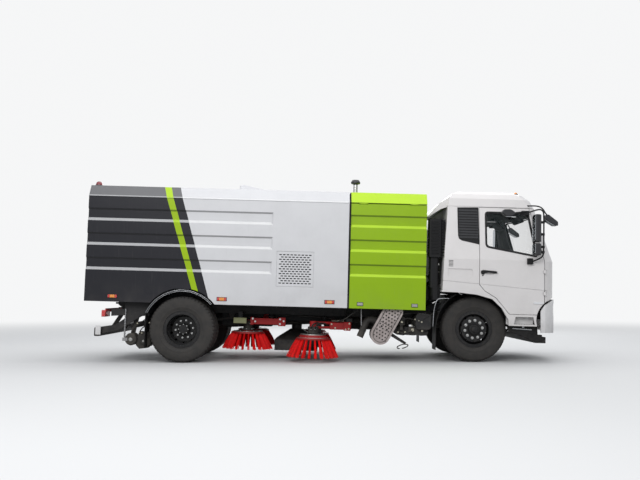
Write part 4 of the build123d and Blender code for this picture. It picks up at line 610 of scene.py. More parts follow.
# Foot of the tailgate: over-centre latches in zinc-plated steel, a pair on each side, on bolted plates.
# Their plating is dull and stained by what leaks past the gate.
latch_steel = Finish("zinc_plate", "stack_steel", (0.45, 0.45, 0.43), roughness=0.38, metallic=0.9)
grime = latch_steel.noise(60.0, 5.0)
latch_steel.soil(grime.rise(0.4, 0.8) * 0.5, (0.20, 0.18, 0.15))
latch_steel.set("Roughness", grime * 0.3 + 0.28)
latch_steel.bump(grime, 0.0004)
GATE_X = -6270
latch = bmesh.new()
for y in (420, 1010):
    brick(latch, (GATE_X - 34, GATE_X - 14, y - 38, y + 38, 1062, 1118),
          (GATE_X - 50, GATE_X - 34, y - 12, y + 12, 1040, 1180))
    for shift in (-26, 26):
        bolt(latch, (GATE_X - 34, y + shift, 1104), (-1, 0, 0), 6, 5)
settle("gate_latches_*", latch, "tailgate", latch_steel, edge=3)

# Gap between the hopper and the machine compartment: a black rubber bulb seal on the compartment's rear,
# clipped along its sides and roof, that the hopper rests against when it is down.
SEAL_X = (-2056, -2036)
seal = bmesh.new()
for side in (-1, 1):
    brick(seal, (*SEAL_X, side * 1222, side * 1246, 820, 2506))
    slab(seal, [(side * 1246, 2506), (side * 1222, 2500), (side * 1128, 2666), (side * 1146, 2684)],
         *SEAL_X, "X")
brick(seal, (*SEAL_X, -1136, 1136, 2662, 2686))
settle("compartment_seal", seal, "chassis", rubber_pad, edge=5)

# Machine compartment: welded shell with a lift-up door on each side, all in green enamel, with sprung
# paddle latches in black cups at the foot of each door.
green_enamel = coach_enamel("green_enamel", "green_paint", GREEN)
# Painted highlight: up-facing ledges are painted a paler green, standing in for the sky's reflection on them.
ledge_highlight = green_enamel.up().rise(0.12, 0.40) * 0.85
enamel_surface(green_enamel, green_enamel.mix(ledge_highlight, GREEN, (0.52, 0.78, 0.045)), dust=0.10)
paint_node(green_enamel, "compartment", "compartment_door_left", "compartment_door_right")
body = "compartment_door_*"
DOOR_REAR, DOOR_FRONT = -2026, -822
ledges = bmesh.new()
channel_ledges(ledges, DOOR_REAR, DOOR_FRONT)
settle("door_ledges_*", ledges, body, green_enamel, crease=20)
paddles, cups = bmesh.new(), bmesh.new()
for x in (-1860, -988):
    brick(cups, (x - 52, x + 52, 1249, 1253, 852, 912))
    brick(paddles, (x - 44, x + 44, 1252, 1257, 860, 904), (x - 20, x + 20, 1255, 1262, 862, 876))
settle("latch_cups_*", cups, body, rubber_pad, edge=2)
settle("latch_paddles_*", paddles, body, latch_steel, edge=2)

# Exhaust of the sweeping engine: aluminised pipe, browned by heat, under a spun black rain cap. Both are one
# CAD node, so the cap is told apart by its height.
pipe_steel = Finish("aluminised_pipe", None, (0.50, 0.50, 0.49))
heat = pipe_steel.noise(22.0, 5.0, stretch=(1.0, 1.0, 3.0))
pipe_steel.set("Roughness", heat * 0.3 + 0.24)
pipe_steel.bump(pipe_steel.noise(200.0, 2.0), 0.0002)
CAP_Z = 2.845
cap_zone = frame_axes(pipe_steel)[2] > CAP_Z
pipe_steel.set("Metallic", 1 - cap_zone)
tinted = pipe_steel.mix(heat.rise(0.4, 0.75) * 0.6, pipe_steel.color, (0.24, 0.20, 0.16))
pipe_steel.set("Base Color", pipe_steel.mix(cap_zone, tinted, (0.02, 0.02, 0.02)))
paint_node(pipe_steel, "exhaust_stack")

# Tilting cab: pressed steel skin in white enamel, warmer than the hopper's, with black louvres in the rear
# quarters, the front grille's slots painted near-black as painted shade of open slots, grey trim boards inside
# and sealer under the arches.
CAB_WHITE, TRIM_GREY, SEALER = (0.755, 0.730, 0.722), (0.30, 0.30, 0.31), (0.018, 0.018, 0.019)
CAB_HALF, BELT_Z, GUTTER_Z, TUMBLE = 1245, 1650, 2520, 115


def between(value, low, high):
    """1 where a value lies between two others, and 0 elsewhere."""
    return (value > low) * (value < high)


def cab_enamel(name, grilles):
    """White outside and dark inside, told apart by whether the surface faces away from the cab's middle."""
    finish = coach_enamel(name, None, CAB_WHITE)
    x, y, z = frame_axes(finish)
    nx, ny, nz = finish.axes(finish.node("TexCoord", {}, {}, "Normal"))
    outward = nx * (x - 0.35) + ny * y + nz * (z - 1.85)
    wide = y.math("ABSOLUTE", y)
    step = between(x, 0.48, 1.02) * between(z, 0.50, 0.85) * (wide > 1.0)
    inside = (outward < -0.02) * (1 - step)
    skin = CAB_WHITE
    if grilles:
        # Rear quarters, the slots of the grille in two rows (counted from the foot of each), and the gills of
        # a small vent; the slots and gills are painted shade, dark stripes standing in for the openings.
        below = z - 1.960
        quarter = ((x > below * -0.083 - 0.257) * (x < 0.041 - below * 0.0115)
                   * (z > 1.960 - (x + 0.257) * 0.235) * (z < 2.492) * (wide > 1.0))
        skin = finish.mix(quarter, skin, (0.026, 0.027, 0.030))
        upper = (z - 1.117) / 0.062
        lower = (z - 0.857) / 0.062
        slots = (between(upper, 0.0, 4.9) * (upper.math("FRACT", upper) < 0.60) * (wide < 0.55)
                 + between(lower, 0.0, 2.9) * (lower.math("FRACT", lower) < 0.54) * (wide < 0.525))
        skin = finish.mix(slots * (x > 1.2), skin, (0.015, 0.015, 0.016))
        vents = (z - 1.527) / 0.022
        gill_shade = between(vents, 0.0, 4.9) * (vents.math("FRACT", vents) < 0.46) * between(x, -0.452, -0.380)
        skin = finish.mix(gill_shade, skin, (0.16, 0.16, 0.16))
    lining = finish.mix(z > 1.21, SEALER, TRIM_GREY)
    enamel_surface(finish, finish.mix(inside, skin, lining), dust=0.10)
    finish.set("Coat Weight", (1 - inside) * 0.35)
    return finish


shell_enamel = cab_enamel("cab_enamel", True)
door_enamel = cab_enamel("door_enamel", False)
paint_node(shell_enamel, "cab_shell")
paint_node(door_enamel, "door_left", "door_right")
bumper_enamel = coach_enamel("bumper_enamel", "white_paint", (0.80, 0.79, 0.79))
enamel_surface(bumper_enamel, bumper_enamel.color, dust=0.25)
paint_node(bumper_enamel, "front_bumper")

# Glass: toughened panes with a faint green cast. The windscreen is bonded, the door panes slide. They mirror
# more at a slant, and a film of dust smears them.
pane_glass = Finish("window_glass", None, (0.10, 0.13, 0.13))
facing = pane_glass.node("LayerWeight", {}, {"Blend": 0.5}, "Facing")
gloss = facing.math("POWER", facing, 5.0)
smear = pane_glass.noise(6.0, 5.0).rise(0.45, 0.9)
pane_glass.set("Alpha", gloss * 0.5 + smear * 0.02 + 0.06)
pane_glass.set("Roughness", smear * 0.08 + 0.02)
paint_node(pane_glass, "cab_glass", "door_glass_left", "door_glass_right")
SKINS = {}      # the search tree of each CAD node that a line has been cast at


def skin_point(node, start, way):
    """Where a line in the truck's metres first meets a CAD node, and which way the surface faces there."""
    if node not in SKINS:
        data = nodes[node].data
        SKINS[node] = BVHTree.FromPolygons([v.co for v in data.vertices], [p.vertices for p in data.polygons])
    spot, facing, _, _ = SKINS[node].ray_cast(Vector(start), Vector(way).normalized())
    return spot, facing


def side_y(z):
    """Half width of the cab at a height: upright to the belt, leaning in above it."""
    return CAB_HALF - max(0.0, z - BELT_Z) * TUMBLE / (GUTTER_Z - BELT_Z)


def grow(outline, distance):
    """The outline moved outward, edge by edge; it runs clockwise or anticlockwise alike."""
    area = sum(a[0] * b[1] - b[0] * a[1] for a, b in zip(outline, outline[1:] + outline[:1]))
    sign = 1 if area > 0 else -1
    grown = []
    for i, corner in enumerate(outline):
        before, after = outline[i - 1], outline[(i + 1) % len(outline)]
        edges = []
        for a, b in ((before, corner), (corner, after)):
            length = hypot(b[0] - a[0], b[1] - a[1])
            edges.append((sign * (b[1] - a[1]) / length, -sign * (b[0] - a[0]) / length))
        (px, pz), (qx, qz) = edges
        scale = distance / (1 + px * qx + pz * qz)
        grown.append((corner[0] + (px + qx) * scale, corner[1] + (pz + qz) * scale))
    return grown


def soften(outline, radius, steps=6):
    """Rounds each corner of an outline."""
    soft = []
    for i, (x, z) in enumerate(outline):
        (ax, az), (bx, bz) = outline[i - 1], outline[(i + 1) % len(outline)]
        la, lb = hypot(ax - x, az - z), hypot(bx - x, bz - z)
        cut = min(radius, la * 0.45, lb * 0.45)
        p = (x + (ax - x) / la * cut, z + (az - z) / la * cut)
        q = (x + (bx - x) / lb * cut, z + (bz - z) / lb * cut)
        for k in range(steps + 1):
            t = k / steps
            soft.append(((1 - t) ** 2 * p[0] + 2 * t * (1 - t) * x + t * t * q[0],
                         (1 - t) ** 2 * p[1] + 2 * t * (1 - t) * z + t * t * q[1]))
    return soft


def band(mesh, loops):
    """Joins loops of points, the last back to the first, into a closed strip round an opening."""
    rings = [[mesh.verts.new(point) for point in loop] for loop in loops]
    for here, after in zip(rings, rings[1:] + rings[:1]):
        for i in range(len(here)):
            j = (i + 1) % len(here)
            mesh.faces.new((here[i], here[j], after[j], after[i]))


# Door furniture: extruded rubber round the drop glass, black pull handle over its pocket, key lock,
# turn lamp low at the front, and the inner trim board with its arm rest and winder.
WINDOW = [(150, 2425), (835, 2425), (962, 1722), (152, 1862)]
black_plastic = weathered("black_plastic", "black_plastic", (0.013, 0.013, 0.014), 0.5, 0.12, grain=0.0003)
trim_board = Finish("trim_board", "trim_plastic", (0.17, 0.17, 0.175), roughness=0.72)
trim_board.soil(trim_board.noise(5.0) * 0.3, (0.11, 0.11, 0.11))
trim_board.bump(trim_board.cells(260.0), 0.0006)
HANDLE = [(63, 1426), (63, 1466), (92, 1482), (160, 1478), (290, 1468), (322, 1460), (324, 1438),
          (300, 1430), (180, 1438), (130, 1430), (108, 1412), (80, 1412)]
body = "door_*"
seals, handle, lamp = bmesh.new(), bmesh.new(), bmesh.new()
outer, inner = soften(grow(WINDOW, 15), 62), soften(grow(WINDOW, -17), 48)
band(seals, [[(x, side_y(z) + out, z) for x, z in outline]
             for outline, out in ((outer, -2), (outer, 4), (inner, 3), (inner, -14))])
settle("window_seal_*", seals, body, rubber_pad)
slab(handle, HANDLE, CAB_HALF + 6, CAB_HALF + 24)
lathe(handle, [(0, 13), (6, 12), (7, 8), (5, 0)], (97, CAB_HALF - 2, 1396), steps=20)
settle("door_handle_*", handle, body, black_plastic, edge=4)
slab(lamp, soften([(908, 962), (1066, 958), (1070, 990), (912, 996)], 12), CAB_HALF - 2, CAB_HALF + 9)
settle("side_turn_lamp_*", lamp, body, clear_lens, edge=3)
board, pull = bmesh.new(), bmesh.new()
slab(board, soften([(90, 1240), (330, 1080), (1020, 1010), (1040, 1600), (960, 1680), (130, 1820)], 40),
     CAB_HALF - 52, CAB_HALF - 44)
brick(board, (260, 620, CAB_HALF - 120, CAB_HALF - 50, 1440, 1490))
settle("door_board_*", board, body, trim_board, edge=8)
lathe(pull, [(0, 22), (-14, 20), (-16, 0)], (720, CAB_HALF - 52, 1330), steps=24)
brick(pull, (716, 724, CAB_HALF - 78, CAB_HALF - 66, 1230, 1330))
lathe(pull, [(0, 13), (-40, 11), (-42, 0)], (720, CAB_HALF - 66, 1238), steps=16)
settle("door_winder_*", pull, body, black_plastic, edge=2)

# Windscreen: rubber all round it, two wipers parked along its foot, and black wiper spindles. The pane is
# curved, so the places of the rubber and the blades are found on the glass itself.
SCREEN = [(-1048, 1755), (-972, 2460), (972, 2460), (1048, 1755), (700, 1700), (-700, 1700)]


def on_screen(y, z, out=0.0):
    """A place on the windscreen's outer face, a little way out from it, in metres."""
    start = at(2600, y, z)
    spot, facing = skin_point("cab_glass", start, at(0, y, z) - start)
    return spot + facing * out if spot else None


METRES = Matrix.Identity(4)
trim, edge_out = bmesh.new(), soften(grow(SCREEN, 2), 60, 8)
loops, dense = [[], [], [], []], []
for i, (y, z) in enumerate(edge_out):
    ny, nz = edge_out[(i + 1) % len(edge_out)]
    count = max(1, int(hypot(ny - y, nz - z) / 40))
    dense += [(y + (ny - y) * k / count, z + (nz - z) * k / count) for k in range(count)]
SCREEN_Z = 2080
for y, z in dense:
    here, within = on_screen(y, z), on_screen(y * 0.975, SCREEN_Z + (z - SCREEN_Z) * 0.955)
    if here and within:
        lift = (here - at(0, 0, SCREEN_Z)).normalized() * 0.008
        for loop, point in zip(loops, (here - lift, here + lift, within + lift * 0.8, within - lift)):
            loop.append(point)
band(trim, loops)
settle("windscreen_seal", trim, "cab", rubber_pad, where=METRES)


def rod(mesh, start, end, thick, thin, sides, length=1.0):
    """A straight round rod between two places, tapered, and as many times as long as the way."""
    bmesh.ops.create_cone(mesh, cap_ends=True, segments=sides, radius1=thick, radius2=thin,
                          depth=(end - start).length * length,
                          matrix=Matrix.Translation((start + end) / 2) @ upright(end - start))


wipers = bmesh.new()
for root, tip in (((-560, 1716), (120, 1800)), ((180, 1716), (860, 1800))):
    steps = [(root[0] + (tip[0] - root[0]) * t / 12, root[1] + (tip[1] - root[1]) * t / 12)
             for t in range(13)]
    blade = [on_screen(y, z, 0.012) for y, z in steps[2:]]
    for start, end in zip(blade, blade[1:]):
        rod(wipers, start, end, 0.007, 0.007, 6, 1.1)
    foot, middle = on_screen(*root, 0.02), on_screen(*steps[7], 0.03)
    rod(wipers, foot, middle, 0.013, 0.006, 8)
    bmesh.ops.create_uvsphere(wipers, u_segments=12, v_segments=8, radius=0.022,
                              matrix=Matrix.Translation(foot))
settle("wipers", wipers, "cab", black_plastic, where=METRES)

# Mirrors: black moulded heads, drawn a paler grey as a painted sheen, with silvered glass on the tubes from
# the doors. A kerb mirror hangs over the door window and a front mirror stands out before the roof on its own
# tube.
mirror_glass = Finish("mirror_glass", "stack_steel", (0.72, 0.74, 0.76), roughness=0.03, metallic=1.0)
film = mirror_glass.noise(9.0, 5.0).rise(0.4, 0.9)
mirror_glass.soil(film * 0.3, (0.35, 0.34, 0.33))
mirror_glass.set("Roughness", film * 0.12 + 0.03)
# Painted sheen: the mirror heads and quarter louvres are a paler grey than the black plastic, standing in for
# the sky's reflection on them.
mirror_shell = weathered("mirror_shell", "black_plastic", (0.045, 0.045, 0.048), 0.34, 0.10, grain=0.0003)
paint_node(black_plastic, "mudguards", "air_intake", "steering_wheel")
heads, faces, feet, kerb, face, look, look_face, foot = (bmesh.new() for _ in range(8))
for low, high in ((1945, 2381), (1731, 1919)):
    plan = [(884, 1284), (872, 1310), (872, 1474), (890, 1486), (940, 1480), (974, 1440), (976, 1326),
            (944, 1284)]
    slab(heads, soften(plan, 14), low, high, "Z")
    shape = [(1300, low + 16), (1472, low + 16), (1472, high - 16), (1300, high - 16)]
    slab(faces, soften(shape, 26), 868, 873, "X")
    for z in (low * 0.72 + high * 0.28, low * 0.28 + high * 0.72):
        brick(feet, (968, 1036, 1384, 1416, z - 20, z + 20))
brick(feet, (726, 850, 1150, 1196, 2388, 2462), (800, 890, 1240, 1292, 1592, 1688))
settle("mirror_heads_*", heads, "door_*", mirror_shell, edge=12, replaced="mirror_*")
settle("mirror_faces_*", faces, "door_*", mirror_glass)
settle("mirror_feet_*", feet, "door_*", black_plastic, edge=6)
tube = [(840, 1180, 2436), (930, 1240, 2470), (990, 1330, 2476), (1020, 1390, 2430), (1022, 1400, 2330),
        (1022, 1400, 1800), (1016, 1394, 1724), (960, 1340, 1672), (860, 1270, 1632)]
pipes("mirror_tube_*", [tube], 12, "door_*", black_plastic)
slab(kerb, soften([(384, 2408), (412, 2466), (530, 2470), (611, 2410), (560, 2360), (440, 2358)], 28),
     1185, 1300)
settle("kerb_mirror_*", kerb, "door_*", mirror_shell, edge=12)
slab(face, soften([(438, 1196), (612, 1196), (612, 1290), (438, 1290)], 24), 2348, 2353, "Z")
settle("kerb_mirror_face_*", face, "door_*", mirror_glass)
arm = [(620, 1240, 2420), (700, 1235, 2432), (780, 1205, 2440), (832, 1168, 2452)]
pipes("kerb_mirror_arm_*", [arm], 11, "door_*", black_plastic)
arm = [(760, 1085, 2548), (900, 1120, 2556), (1020, 1160, 2545), (1080, 1180, 2490), (1105, 1190, 2430),
       (1140, 1195, 2395)]
pipes("front_mirror_arm_*", [arm], 11, "cab", black_plastic)
slab(look, soften([(1085, 2396), (1140, 2406), (1292, 2290), (1294, 2226), (1246, 2228), (1098, 2312)], 18),
     1110, 1270)
settle("front_mirror_*", look, "cab", mirror_shell, edge=10)
slab(look_face, [(1104, 2306), (1240, 2229), (1238, 2224), (1102, 2301)], 1122, 1258)
settle("front_mirror_face_*", look_face, "cab", mirror_glass, edge=1)
brick(foot, (735, 800, 1070, 1100, 2532, 2560))
settle("front_mirror_foot_*", foot, "cab", black_plastic, edge=4)

# Roof lamps: two amber clearance lamps on black feet, screwed down to the cab's roof through gaskets, where
# a line straight down meets the roof.
for name, y in (("roof_lamp_right", -820), ("roof_lamp_left", 820)):
    spot, _ = skin_point("cab_shell", at(700, y, 3400), (0, 0, -1))
    foot, lens = bmesh.new(), bmesh.new()
    lathe(foot, [(-0.004, 0.0), (-0.004, 0.036), (0.008, 0.034), (0.012, 0.028), (0.012, 0.0)], spot, "Z", 24)
    lathe(lens, [(0.010, 0.026), (0.026, 0.024), (0.036, 0.014), (0.038, 0.0)], spot, "Z", 24)
    settle(name + "_foot", foot, "cab", rubber_pad, where=METRES)
    settle(name, lens, "cab", amber, where=METRES)

# Brooms: two dozen tufts of red polypropylene clamped under a steel disc, bolted on through a steel ring. The
# tufts stand in fans along the radius, with dark gaps between them.
bristle_red = Finish("bristle_red", "bristle_red", (0.92, 0.008, 0.008), roughness=0.6,
                     specular_ior_level=0.15)
strand = bristle_red.noise(30.0, 4.0)
low_z = bristle_red.axes()[2]
tone = bristle_red.mix(strand.rise(0.35, 0.7), bristle_red.color, (0.68, 0.008, 0.008))
tone = bristle_red.mix((1 - low_z.rise(0.05, 0.24)) * 0.18, tone, (0.70, 0.08, 0.06))
bristle_red.set("Base Color", tone)
bristle_red.bump(bristle_red.noise(300.0, 2.0), 0.0004)
arm_enamel = weathered("arm_enamel", "red_paint", (0.36, 0.006, 0.008), 0.45, 0.12, specular=0.3)
TUFTS, STRANDS, TOP_R, TIP_R = 24, 30, 255, 425
# Columns: name, place forward and sideways, height of the disc and of the bristle tips.
for broom, x, y, disc_z, tip_z in (
        ("front_broom_right", -2598, -950, 290, 0), ("front_broom_left", -2598, 950, 290, 0),
        ("rear_broom_right", -3697, -550, 345, 80), ("rear_broom_left", -3697, 550, 345, 80)):
    dice = Random(len(broom) + int(y))
    bristles, disc, ring, bolts = bmesh.new(), bmesh.new(), bmesh.new(), bmesh.new()
    for tuft in range(TUFTS):
        middle = 2 * pi * (tuft + 0.5) / TUFTS
        for _ in range(STRANDS):
            spread, turn = dice.uniform(-1, 1), dice.uniform(-1, 1) * 0.45
            root_r, tip_r = TOP_R - 14 + spread * 26, TIP_R - 42 + spread * 42
            root_a = middle + turn * 14 / TOP_R
            tip_a = middle + turn * 44 / TIP_R + dice.uniform(-0.012, 0.012)
            drop = tip_z + dice.uniform(0, 16)
            rings = []
            for t in (0, 0.25, 0.5, 0.75, 1):
                r = root_r + (tip_r - root_r) * (t ** 0.85)
                a = root_a + (tip_a - root_a) * t
                z = disc_z + 6 + (drop - disc_z - 6) * t
                thick = 5.2 - 2.0 * t
                rings.append([bristles.verts.new((x + r * cos(a) + thick * cos(k),
                                                  y + r * sin(a) + thick * sin(k), z))
                              for k in (a, a + 2.1, a + 4.2)])
            for here, after in zip(rings, rings[1:]):
                for i, j in ((0, 1), (1, 2), (2, 0)):
                    bristles.faces.new((here[i], here[j], after[j], after[i]))
            bristles.faces.new(rings[-1])
    settle(f"{broom}_bristles", bristles, broom, bristle_red, crease=80, replaced=broom)
    # Each profile: the mesh, whether it closes on itself, and pairs of height over the disc and radius.
    turned = [(disc, True, [(24, 60), (24, 262), (18, 278), (-4, 281), (-4, 225), (12, 215), (12, 60)]),
              (disc, False, [(20, 0), (20, 92), (34, 88), (38, 30), (104, 24), (104, 0)]),
              (ring, True, [(24, 196), (31, 200), (31, 250), (24, 254)])]
    if broom.startswith("front"):
        turned += [(disc, True, [(22, 246), (74, 204), (74, 196), (22, 238)]),
                   (ring, True, [(74, 160), (82, 164), (82, 208), (72, 212)])]
    for mesh, closed, profile in turned:
        lathe(mesh, [(disc_z + up, r) for up, r in profile], (x, y, 0), "Z", 64 if closed else 32, closed)
    settle(f"{broom}_disc", disc, broom, arm_enamel)
    for u, v in around(12, 225):
        bolt(bolts, (x + u, y + v, disc_z + 30), (0, 0, 1), 11, 9)
    settle(f"{broom}_ring", ring, broom, latch_steel, edge=1)
    settle(f"{broom}_bolts", bolts, broom, bright_steel)

# Broom arms: red welded arms and hangers, black hydraulic motors with plated bolts, and paired hoses that
# loop from the arm into each motor. Small plates and springs hold the arms to the subframe.
paint_node(arm_enamel, "broom_arm_left", "broom_arm_right", "rear_broom_hangers")
hose_rubber = weathered("hose_rubber", "black_plastic", (0.012, 0.012, 0.012), 0.52, 0.28)
brass = Finish("fitting_zinc", "stack_steel", (0.55, 0.52, 0.42), roughness=0.35, metallic=1.0)
for side_name, side in SIDES:
    for body, x, y, z in ((f"broom_arm_{side_name}", -2598, side * 950, 480),
                          ("chassis", -3697, side * 550, 535)):
        cap, fittings = bmesh.new(), bmesh.new()
        lathe(cap, [(z - 150, 101), (z - 130, 104), (z - 122, 82), (z - 60, 80), (z - 52, 88), (z + 8, 88),
                    (z + 16, 70), (z + 16, 0)], (x, y, 0), "Z", 36)
        settle(f"motor_case_{side_name}_{body[:5]}", cap, body, castings, edge=2)
        for radius, up, size in ((92, -128, 9), (74, 8, 8)):
            for u, v in around(6, radius, 0.3):
                bolt(fittings, (x + u, y + v, z + up), (0, 0, 1), size, 12)
        for shift in (-34, 34):
            lathe(fittings, [(side * 70, 15), (side * 116, 15), (side * 120, 0)], (x + shift, y, z - 22),
                  steps=6)
        settle(f"motor_bolts_{side_name}_{body[:5]}", fittings, body, bright_steel)
        pipes(f"motor_hoses_{side_name}_{body[:5]}",
              [[(x + shift, y + side * 112, z - 22), (x + shift, y + side * 150, z - 10),
                (x + shift + 30, y + side * 140, z + 60), (x + shift + 110, y + side * 60, z + 84),
                (x + shift + 170, y - side * 30, z + 60)] for shift in (-34, 34)],
              11, body, hose_rubber)
    gear, plates = bmesh.new(), bmesh.new()
    for x0, x1, near, far, z0, z1 in ((-3620, -3150, 740, 800, 500, 600), (-3180, -3060, 730, 812, 478, 620),
                                      (-3640, -3590, 720, 812, 490, 616), (-3400, -3340, 560, 745, 540, 600)):
        brick(gear, (x0, x1, side * near, side * far, z0, z1))
    settle(f"broom_beam_{side_name}", gear, "chassis", arm_enamel, edge=6)
    for bx, bz in ((-3600, 590), (-3560, 545), (-3150, 590), (-3150, 512), (-3090, 560)):
        bolt(plates, (bx, side * 812, bz), (0, side, 0), 14, 14)
    settle(f"broom_beam_bolts_{side_name}", plates, "chassis", bright_steel)
    bits = bmesh.new()
    slab(bits, [(-2330, 452), (-2090, 452), (-2040, 500), (-2040, 560), (-2330, 560)], side * 905, side * 925)
    tip = -1990 if side < 0 else -2052      # room for the swing beside the fuel tank
    slab(bits, [(tip - 110, 440), (tip, 440), (tip, 575), (tip - 110, 575)], side * 925, side * 945)
    settle(f"arm_plates_{side_name}", bits, f"broom_arm_{side_name}", arm_enamel, edge=4)
    nuts = bmesh.new()
    for bx, bz in ((tip - 80, 460), (tip - 20, 555), (tip - 30, 470), (-2300, 540), (-2240, 480)):
        bolt(nuts, (bx, side * 945, bz), (0, side, 0), 12, 12)
    settle(f"arm_bolts_{side_name}", nuts, f"broom_arm_{side_name}", brass)
    coil = [(-2300 + k * 3.4, side * 880 + u, 592 + v)
            for k, (u, v) in enumerate(around(6, 17) * 10 + [(17, 0)])]
    pipes(f"arm_spring_{side_name}", [coil], 4, f"broom_arm_{side_name}", brass)

# Side box of a pilot valve before the rear wheels: a plain yellow-green painted cover with no print, on a
# pressed bracket from the right rail.
valve_paint = weathered("valve_paint", "green_paint", (0.37, 0.39, 0.19), 0.5, 0.4, specular=0.5)
valve = bmesh.new()
brick(valve, (-3925, -3710, -760, -700, 505, 600))
settle("pilot_valve", valve, "chassis", valve_paint, edge=6)
bracket = bmesh.new()
brick(bracket, (-3850, -3780, -740, -700, 598, 700), (-3850, -3780, -702, -440, 660, 700))
settle("pilot_valve_bracket", bracket, "chassis", chassis_enamel, edge=3)

# Silencer of the sweeping engine: drum in black heat paint behind a pressed guard of aluminised sheet gone
# grey-brown, three bolt holes drawn as dark discs, a fold across it and rolled edges drawn dark as painted
# shade, and a dark tail pipe.
heat_paint = weathered("heat_paint", "black_paint", (0.040, 0.036, 0.034), 0.7, 0.55, specular=0.5,
                       low=0.2, high=0.9)
guard_sheet = Finish("guard_sheet", "guard_steel", (0.46, 0.40, 0.385), roughness=0.55, metallic=0.1)
stain = guard_sheet.noise(8.0, 6.0, 0.65)
speck = guard_sheet.noise(90.0, 2.0)
tone = guard_sheet.mix(stain.rise(0.35, 0.75) * 0.45, guard_sheet.color, (0.19, 0.155, 0.135))
guard_sheet.set("Base Color", guard_sheet.mix(speck.rise(0.55, 0.7) * 0.25, tone, (0.36, 0.33, 0.32)))
guard_sheet.set("Roughness", stain * 0.25 + 0.42)
guard_sheet.bump(guard_sheet.cells(110.0).rise(0.15, 0.35), 0.0012)
paint_node(heat_paint, "silencer")
paint_node(guard_sheet, "silencer_guard")
shade_rims = bmesh.new()
LEAN_X, LEAN_Z = sin(radians(28)), cos(radians(28))


def on_guard(across, along):
    """A place on the leaning guard: across it and up it from the middle of its round foot."""
    return (-1518 + across * LEAN_Z + along * LEAN_X, -1170, 402 - across * LEAN_X + along * LEAN_Z)


def guard_strip(points, width, out):
    """A raised strip along a line on the guard, in straight lengths."""
    for (a0, b0), (a1, b1) in zip(points, points[1:]):
        length = hypot(a1 - a0, b1 - b0)
        na, nb = -(b1 - b0) / length * width / 2, (a1 - a0) / length * width / 2
        low = [on_guard(a0 + na, b0 + nb), on_guard(a1 + na, b1 + nb), on_guard(a1 - na, b1 - nb),
               on_guard(a0 - na, b0 - nb)]
        join(shade_rims, low, [(x, y - out, z) for x, y, z in low])


foot = [(118 * cos(radians(a)), 118 * sin(radians(a))) for a in range(-10, -180, -10)]
guard_strip([(118, 470), (118, 0), *foot, (-118, 0), (-118, 440)], 8, 7)
guard_strip([(-118, 190), (118, 190)], 7, 5)
# Painted shade: the rolled edges and the fold are drawn in black heat paint, a dark outline standing in for
# the shadow gap round the guard.
settle("silencer_guard_rims", shade_rims, "chassis", heat_paint, edge=1)
hole_shade, washers = bmesh.new(), bmesh.new()
for across, along in ((-18, 305), (-48, 128), (52, 118)):
    spot = on_guard(across, along)
    lathe(hole_shade, [(-1, 17), (-4, 17), (-4, 0)], spot, steps=20)
    lathe(washers, [(0, 25), (-5, 24), (-5, 16), (0, 16)], spot, steps=24, closed=True)
# The bolt holes are dark discs: their darkness is partly the black drum behind them and partly painted shade.
settle("silencer_guard_holes", hole_shade, "chassis", rubber_pad)
settle("silencer_guard_washers", washers, "chassis", guard_sheet)
straps = bmesh.new()
for along in (60, 360):
    for low, high in ((-128, -96), (96, 128)):
        corners = [on_guard(low, along - 14), on_guard(high, along - 14), on_guard(high, along + 14),
                   on_guard(low, along + 14)]
        slab(straps, [(x, z) for x, _, z in corners], -1160, -1120)
settle("silencer_straps", straps, "chassis", castings, edge=2)

# Mudguards: black moulded arcs with a bright beaded edge over the rear tyres, rubber flaps behind them, and
# a polished bead up the front guard's edge. The beads' pale steel is partly a painted highlight of the guards'
# edges.
bead_steel = weathered("bead_steel", "stack_steel", (0.60, 0.61, 0.63), 0.32, 0.25, specular=0.5,
                       metallic=0.85)
routes = []
for radius, out in ((632, 1252), (612, 1246)):
    routes.append([(REAR_X + radius * cos(radians(a)), out, REAR_Z + radius * sin(radians(a)))
                   for a in range(42, 160, 6)])
pipes("rear_guard_beads_*", routes, 3.5, "chassis", bead_steel)
pipes("front_guard_bead_*", [[(-440, 1243, 1012), (-560, 1243, 1010), (-628, 1243, 995), (-660, 1243, 900),
                              (-684, 1243, 780), (-690, 1243, 560)]], 5, "chassis", bead_steel)

# Air tank, valves and pipes between the silencer and the front wheel, with their pale fittings. The tank is
# strapped across the frame, and the cast valves are bolted round it.
rig, fit, tank = bmesh.new(), bmesh.new(), bmesh.new()
AIR_TANK = (-815, 0, 590)
lathe(tank, [(-1110, 0), (-1106, 60), (-1090, 110), (-1060, 128), (-640, 128), (-612, 110), (-596, 60),
             (-592, 0)], AIR_TANK, steps=44)
settle("air_tank", tank, "chassis", chassis_enamel)
for y in (-1000, -740):
    lathe(rig, [(y - 16, 133), (y + 16, 133)], AIR_TANK, steps=44)
brick(rig, (-960, -900, -1040, -640, 560, 700), (-1240, -1120, -1060, -860, 560, 690),
      (-1200, -1150, -1090, -1040, 480, 640), (-1060, -980, -1080, -940, 450, 540))
lathe(rig, [(-1120, 58), (-1000, 58)], (-1180, 0, 500), steps=24)
lathe(rig, [(-1104, 40), (-1000, 40)], (-1040, 0, 610), steps=24)
settle("brake_valves", rig, "chassis", castings, edge=4)
for x, z, size in ((-1171, 612, 15), (-853, 621, 15), (-843, 477, 14), (-995, 489, 22), (-1229, 447, 12),
                   (-1116, 450, 12), (-960, 660, 9), (-900, 640, 9), (-1010, 560, 9)):
    bolt(fit, (x, -1106, z), (0, -1, 0), size, 18)
settle("brake_fittings", fit, "chassis", brass)
